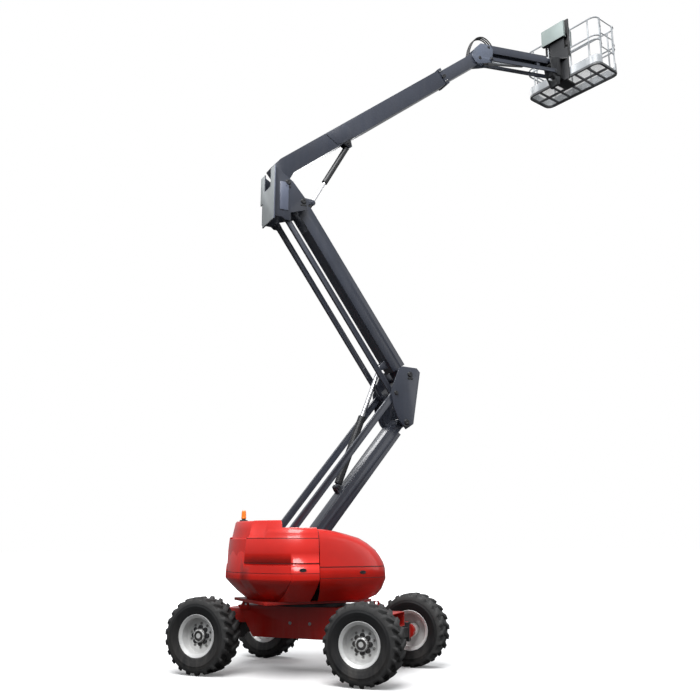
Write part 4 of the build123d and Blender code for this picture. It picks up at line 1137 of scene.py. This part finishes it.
class LIFT_OT_controls(bpy.types.Operator):
    """Levers, toggles and a stop button on the console, and its dark lower part"""

    bl_idname = "lift.controls"
    bl_label = "Controls"

    def execute(self, context):
        base = basket_frame()
        shown = bpy.data.objects["soft_console"]
        inverse = base.inverted()
        repaint(shown, "black_plastic", lambda c, n: (inverse @ c).z < 1.02 and (inverse @ c).z > 0.7)
        lever = lathe(
            "lever",
            [(0.030, 0.0), (0.030, 0.004), (0.026, 0.010), (0.022, 0.012), (0.023, 0.018), (0.017, 0.021),
             (0.018, 0.027), (0.010, 0.032), (0.008, 0.070), (0.014, 0.078), (0.017, 0.092),
             (0.015, 0.106), (0.008, 0.114), (0.001, 0.116)],
            32,
        )
        stop = lathe(
            "stop",
            [(0.018, 0.0), (0.018, 0.012), (0.011, 0.013), (0.011, 0.022), (0.024, 0.026), (0.026, 0.032),
             (0.023, 0.040), (0.004, 0.043)],
            32,
        )
        toggle = lathe(
            "toggle",
            [(0.009, 0.0), (0.009, 0.005), (0.005, 0.007), (0.004, 0.026), (0.006, 0.030), (0.002, 0.032)],
            16,
        )

        def place(y, x=0.30):
            start = base @ Vector((x, 0.105 + y, 1.7))
            end = base @ Vector((x, 0.105 + y, 0.9))
            hit, spot, normal, _ = shown.ray_cast(start, (end - start).normalized())
            if not hit:
                raise RuntimeError("no console top under the control")
            return axis_frame(spot, normal)

        for source, name, mat, spots in (
            (lever, "levers", "black_plastic", [place(y) for y in (-0.20, 0.20)]),
            (stop, "stop_button", "signal_red", [place(0.0, 0.33)]),
            (toggle, "toggles", "zinc_bolt",
                [place(y, 0.27) for y in (-0.11, -0.07, -0.03, 0.03, 0.07, 0.11)]),
        ):
            smoothed(source, 35)
            repeated(source, spots, name, "platform", mat)
        return {"FINISHED"}


# ---- hoses -----------------------------------------------------------------------------------------------
HOSE_DIAMETER = 0.026
HOSE_ROWS = (-0.045, 0.0, 0.045)
HOSE_FOOT_X = 3.24
# along the boom and up, from the slew axis
HOSE_ROUTE = (
    (3.300, 11.360), (3.400, 11.540), (3.530, 11.640), (3.640, 11.655), (3.750, 11.600), (3.840, 11.500),
)


class LIFT_OT_hoses(bpy.types.Operator):
    """Free loops of hydraulic hose over the jib's foot"""

    bl_idname = "lift.hoses"
    bl_label = "Hoses"

    def execute(self, context):
        for number, y in enumerate(HOSE_ROWS):
            shown = bpy.data.objects["soft_boom_inner"]
            hit, foot, _, _ = shown.ray_cast(turret_point(HOSE_FOOT_X, y, 12.5), Vector((0, 0, -1)))
            if not hit:
                raise RuntimeError("the hoses find no boom under them")
            route = [foot] + [turret_point(x, y, z) for x, z in HOSE_ROUTE]
            clear()
            bpy.ops.curve.primitive_bezier_curve_add()
            hose = context.object
            hose.name = f"jib_hose_{number}"
            hose.matrix_world = Matrix.Identity(4)
            spline = hose.data.splines[0]
            spline.bezier_points.add(len(route) - 2)
            for knot, spot in zip(spline.bezier_points, route):
                knot.co = spot
                knot.handle_left_type = knot.handle_right_type = "AUTO"
            spline.resolution_u = 10
            hose.data.bevel_depth = HOSE_DIAMETER / 2
            hose.data.bevel_resolution = 4
            hose.data.use_fill_caps = True
            context.view_layer.update()
            done(hose, "boom_inner", "hose_rubber")
        return {"FINISHED"}


# ---- stage -----------------------------------------------------------------------------------------
def floor_material(glow):
    """Pale floor; the camera sees a glow on it that grows with distance and leaves the shadow."""
    mat = bpy.data.materials.new("pale_floor")
    mat.use_nodes = True
    tree = mat.node_tree
    tree.nodes.remove(tree.nodes["Principled BSDF"])
    matt = add(tree, "BsdfDiffuse", Color=(0.8, 0.8, 0.8, 1))
    bounce = add(tree, "BsdfDiffuse", Color=(0.07, 0.07, 0.07, 1))
    light = add(tree, "Emission", Color=(1, 1, 1, 1))
    coords = add(tree, "TexCoord")
    away = add(tree, "VectorMath")
    away.operation = "LENGTH"
    wire(tree, (coords.outputs["Object"], away.inputs[0]))
    wire(tree, (steps(tree, away.outputs["Value"], 3.0, 16.0, glow, 1.0), light.inputs["Strength"]))
    both = add(tree, "AddShader")
    path = add(tree, "LightPath")
    pick_one = add(tree, "MixShader")
    wire(
        tree,
        (matt.outputs["BSDF"], both.inputs[0]),
        (light.outputs["Emission"], both.inputs[1]),
        (path.outputs["Is Camera Ray"], pick_one.inputs["Fac"]),
        (bounce.outputs["BSDF"], pick_one.inputs[1]),
        (both.outputs["Shader"], pick_one.inputs[2]),
        (pick_one.outputs["Shader"], tree.nodes["Material Output"].inputs["Surface"]),
    )
    return mat


def backdrop(scene):
    """White behind the machine for the camera and through glass, and a softer sky for the light."""
    world = bpy.data.worlds.new("studio")
    scene.world = world
    world.use_nodes = True
    tree = world.node_tree
    sky = tree.nodes["Background"]
    coords = add(tree, "TexCoord")
    split = add(tree, "SeparateXYZ")
    wire(tree, (coords.outputs["Generated"], split.inputs[0]))
    high = steps(tree, split.outputs["Z"], -0.15, 0.75)
    tone = colour_mix(tree, high, (0.42, 0.43, 0.45), (0.95, 0.97, 1.0))
    wire(tree, (tone, sky.inputs["Color"]))
    sky.inputs["Strength"].default_value = 0.6
    white = add(tree, "Background", Color=(1, 1, 1, 1), Strength=1.0)
    path = add(tree, "LightPath")
    seen = math_node(tree, "ADD", path.outputs["Is Camera Ray"], path.outputs["Is Transmission Ray"],
        clamp=True)
    mix = add(tree, "MixShader")
    wire(
        tree,
        (seen, mix.inputs["Fac"]),
        (sky.outputs["Background"], mix.inputs[1]),
        (white.outputs["Background"], mix.inputs[2]),
        (mix.outputs["Shader"], tree.nodes["World Output"].inputs["Surface"]),
    )


class LIFT_OT_stage(bpy.types.Operator):
    """Camera, soft studio lamps and a plain pale floor"""

    bl_idname = "lift.stage"
    bl_label = "Stage"

    def execute(self, context):
        s = settings("lift_stage")
        scene = context.scene
        scene.view_settings.view_transform = "Standard"
        look = Vector((cos(s.pitch) * cos(s.heading), cos(s.pitch) * sin(s.heading), sin(s.pitch)))
        clear()
        bpy.ops.object.camera_add(location=s.camera_at, rotation=look.to_track_quat("-Z", "Y").to_euler())
        camera = context.object
        camera.data.lens = s.lens
        camera.data.sensor_width = 36
        camera.data.clip_end = 300
        scene.camera = camera
        bpy.ops.mesh.primitive_plane_add(size=240, location=(0, 0, 0))
        floor = context.object
        floor.name = "floor"
        floor.data.materials.append(floor_material(s.floor_glow))
        for name, energy, size, spot, aim in (
            ("key", 4300, 12, (-7, -7, 17), (-1, 0, 4)),
            ("fill", 300, 10, (10, -9, 7), (0, 0, 4)),
            ("rim", 900, 8, (1, 10, 15), (0, 0, 6)),
        ):
            aimed = (Vector(aim) - Vector(spot)).to_track_quat("-Z", "Y").to_euler()
            bpy.ops.object.light_add(type="AREA", location=spot, rotation=aimed)
            lamp = context.object
            lamp.name = name
            lamp.data.energy = energy
            lamp.data.size = size
        backdrop(scene)
        return {"FINISHED"}


OPERATORS = (
    LIFT_OT_finishes,
    LIFT_OT_castings,
    LIFT_OT_tyres,
    LIFT_OT_rims,
    LIFT_OT_pins,
    LIFT_OT_tail_wall,
    LIFT_OT_cover_lines,
    LIFT_OT_latches,
    LIFT_OT_beacon_base,
    LIFT_OT_chassis_parts,
    LIFT_OT_head_paint,
    LIFT_OT_boom_fittings,
    LIFT_OT_tread,
    LIFT_OT_rail_tubes,
    LIFT_OT_controls,
    LIFT_OT_hoses,
    LIFT_OT_stage,
)


class LIFT_PT_panel(bpy.types.Panel):
    """Lists the steps that dress the machine"""

    bl_label = "Boom Lift"
    bl_idname = "LIFT_PT_panel"
    bl_space_type = "VIEW_3D"
    bl_region_type = "UI"
    bl_category = "Boom Lift"

    def draw(self, context):
        for operator in OPERATORS:
            self.layout.operator(operator.bl_idname)


def register():
    for name, kind in SETTINGS.items():
        bpy.utils.register_class(kind)
        setattr(bpy.types.Scene, name, bpy.props.PointerProperty(type=kind))
    for operator in OPERATORS:
        bpy.utils.register_class(operator)
    bpy.utils.register_class(LIFT_PT_panel)


def unregister():
    bpy.utils.unregister_class(LIFT_PT_panel)
    for operator in reversed(OPERATORS):
        bpy.utils.unregister_class(operator)
    for name, kind in SETTINGS.items():
        delattr(bpy.types.Scene, name)
        bpy.utils.unregister_class(kind)


def main():
    register()
    for operator in OPERATORS:
        kind, name = operator.bl_idname.split(".")
        getattr(getattr(bpy.ops, kind), name)()
    clear()


if __name__ == "__main__":
    main()
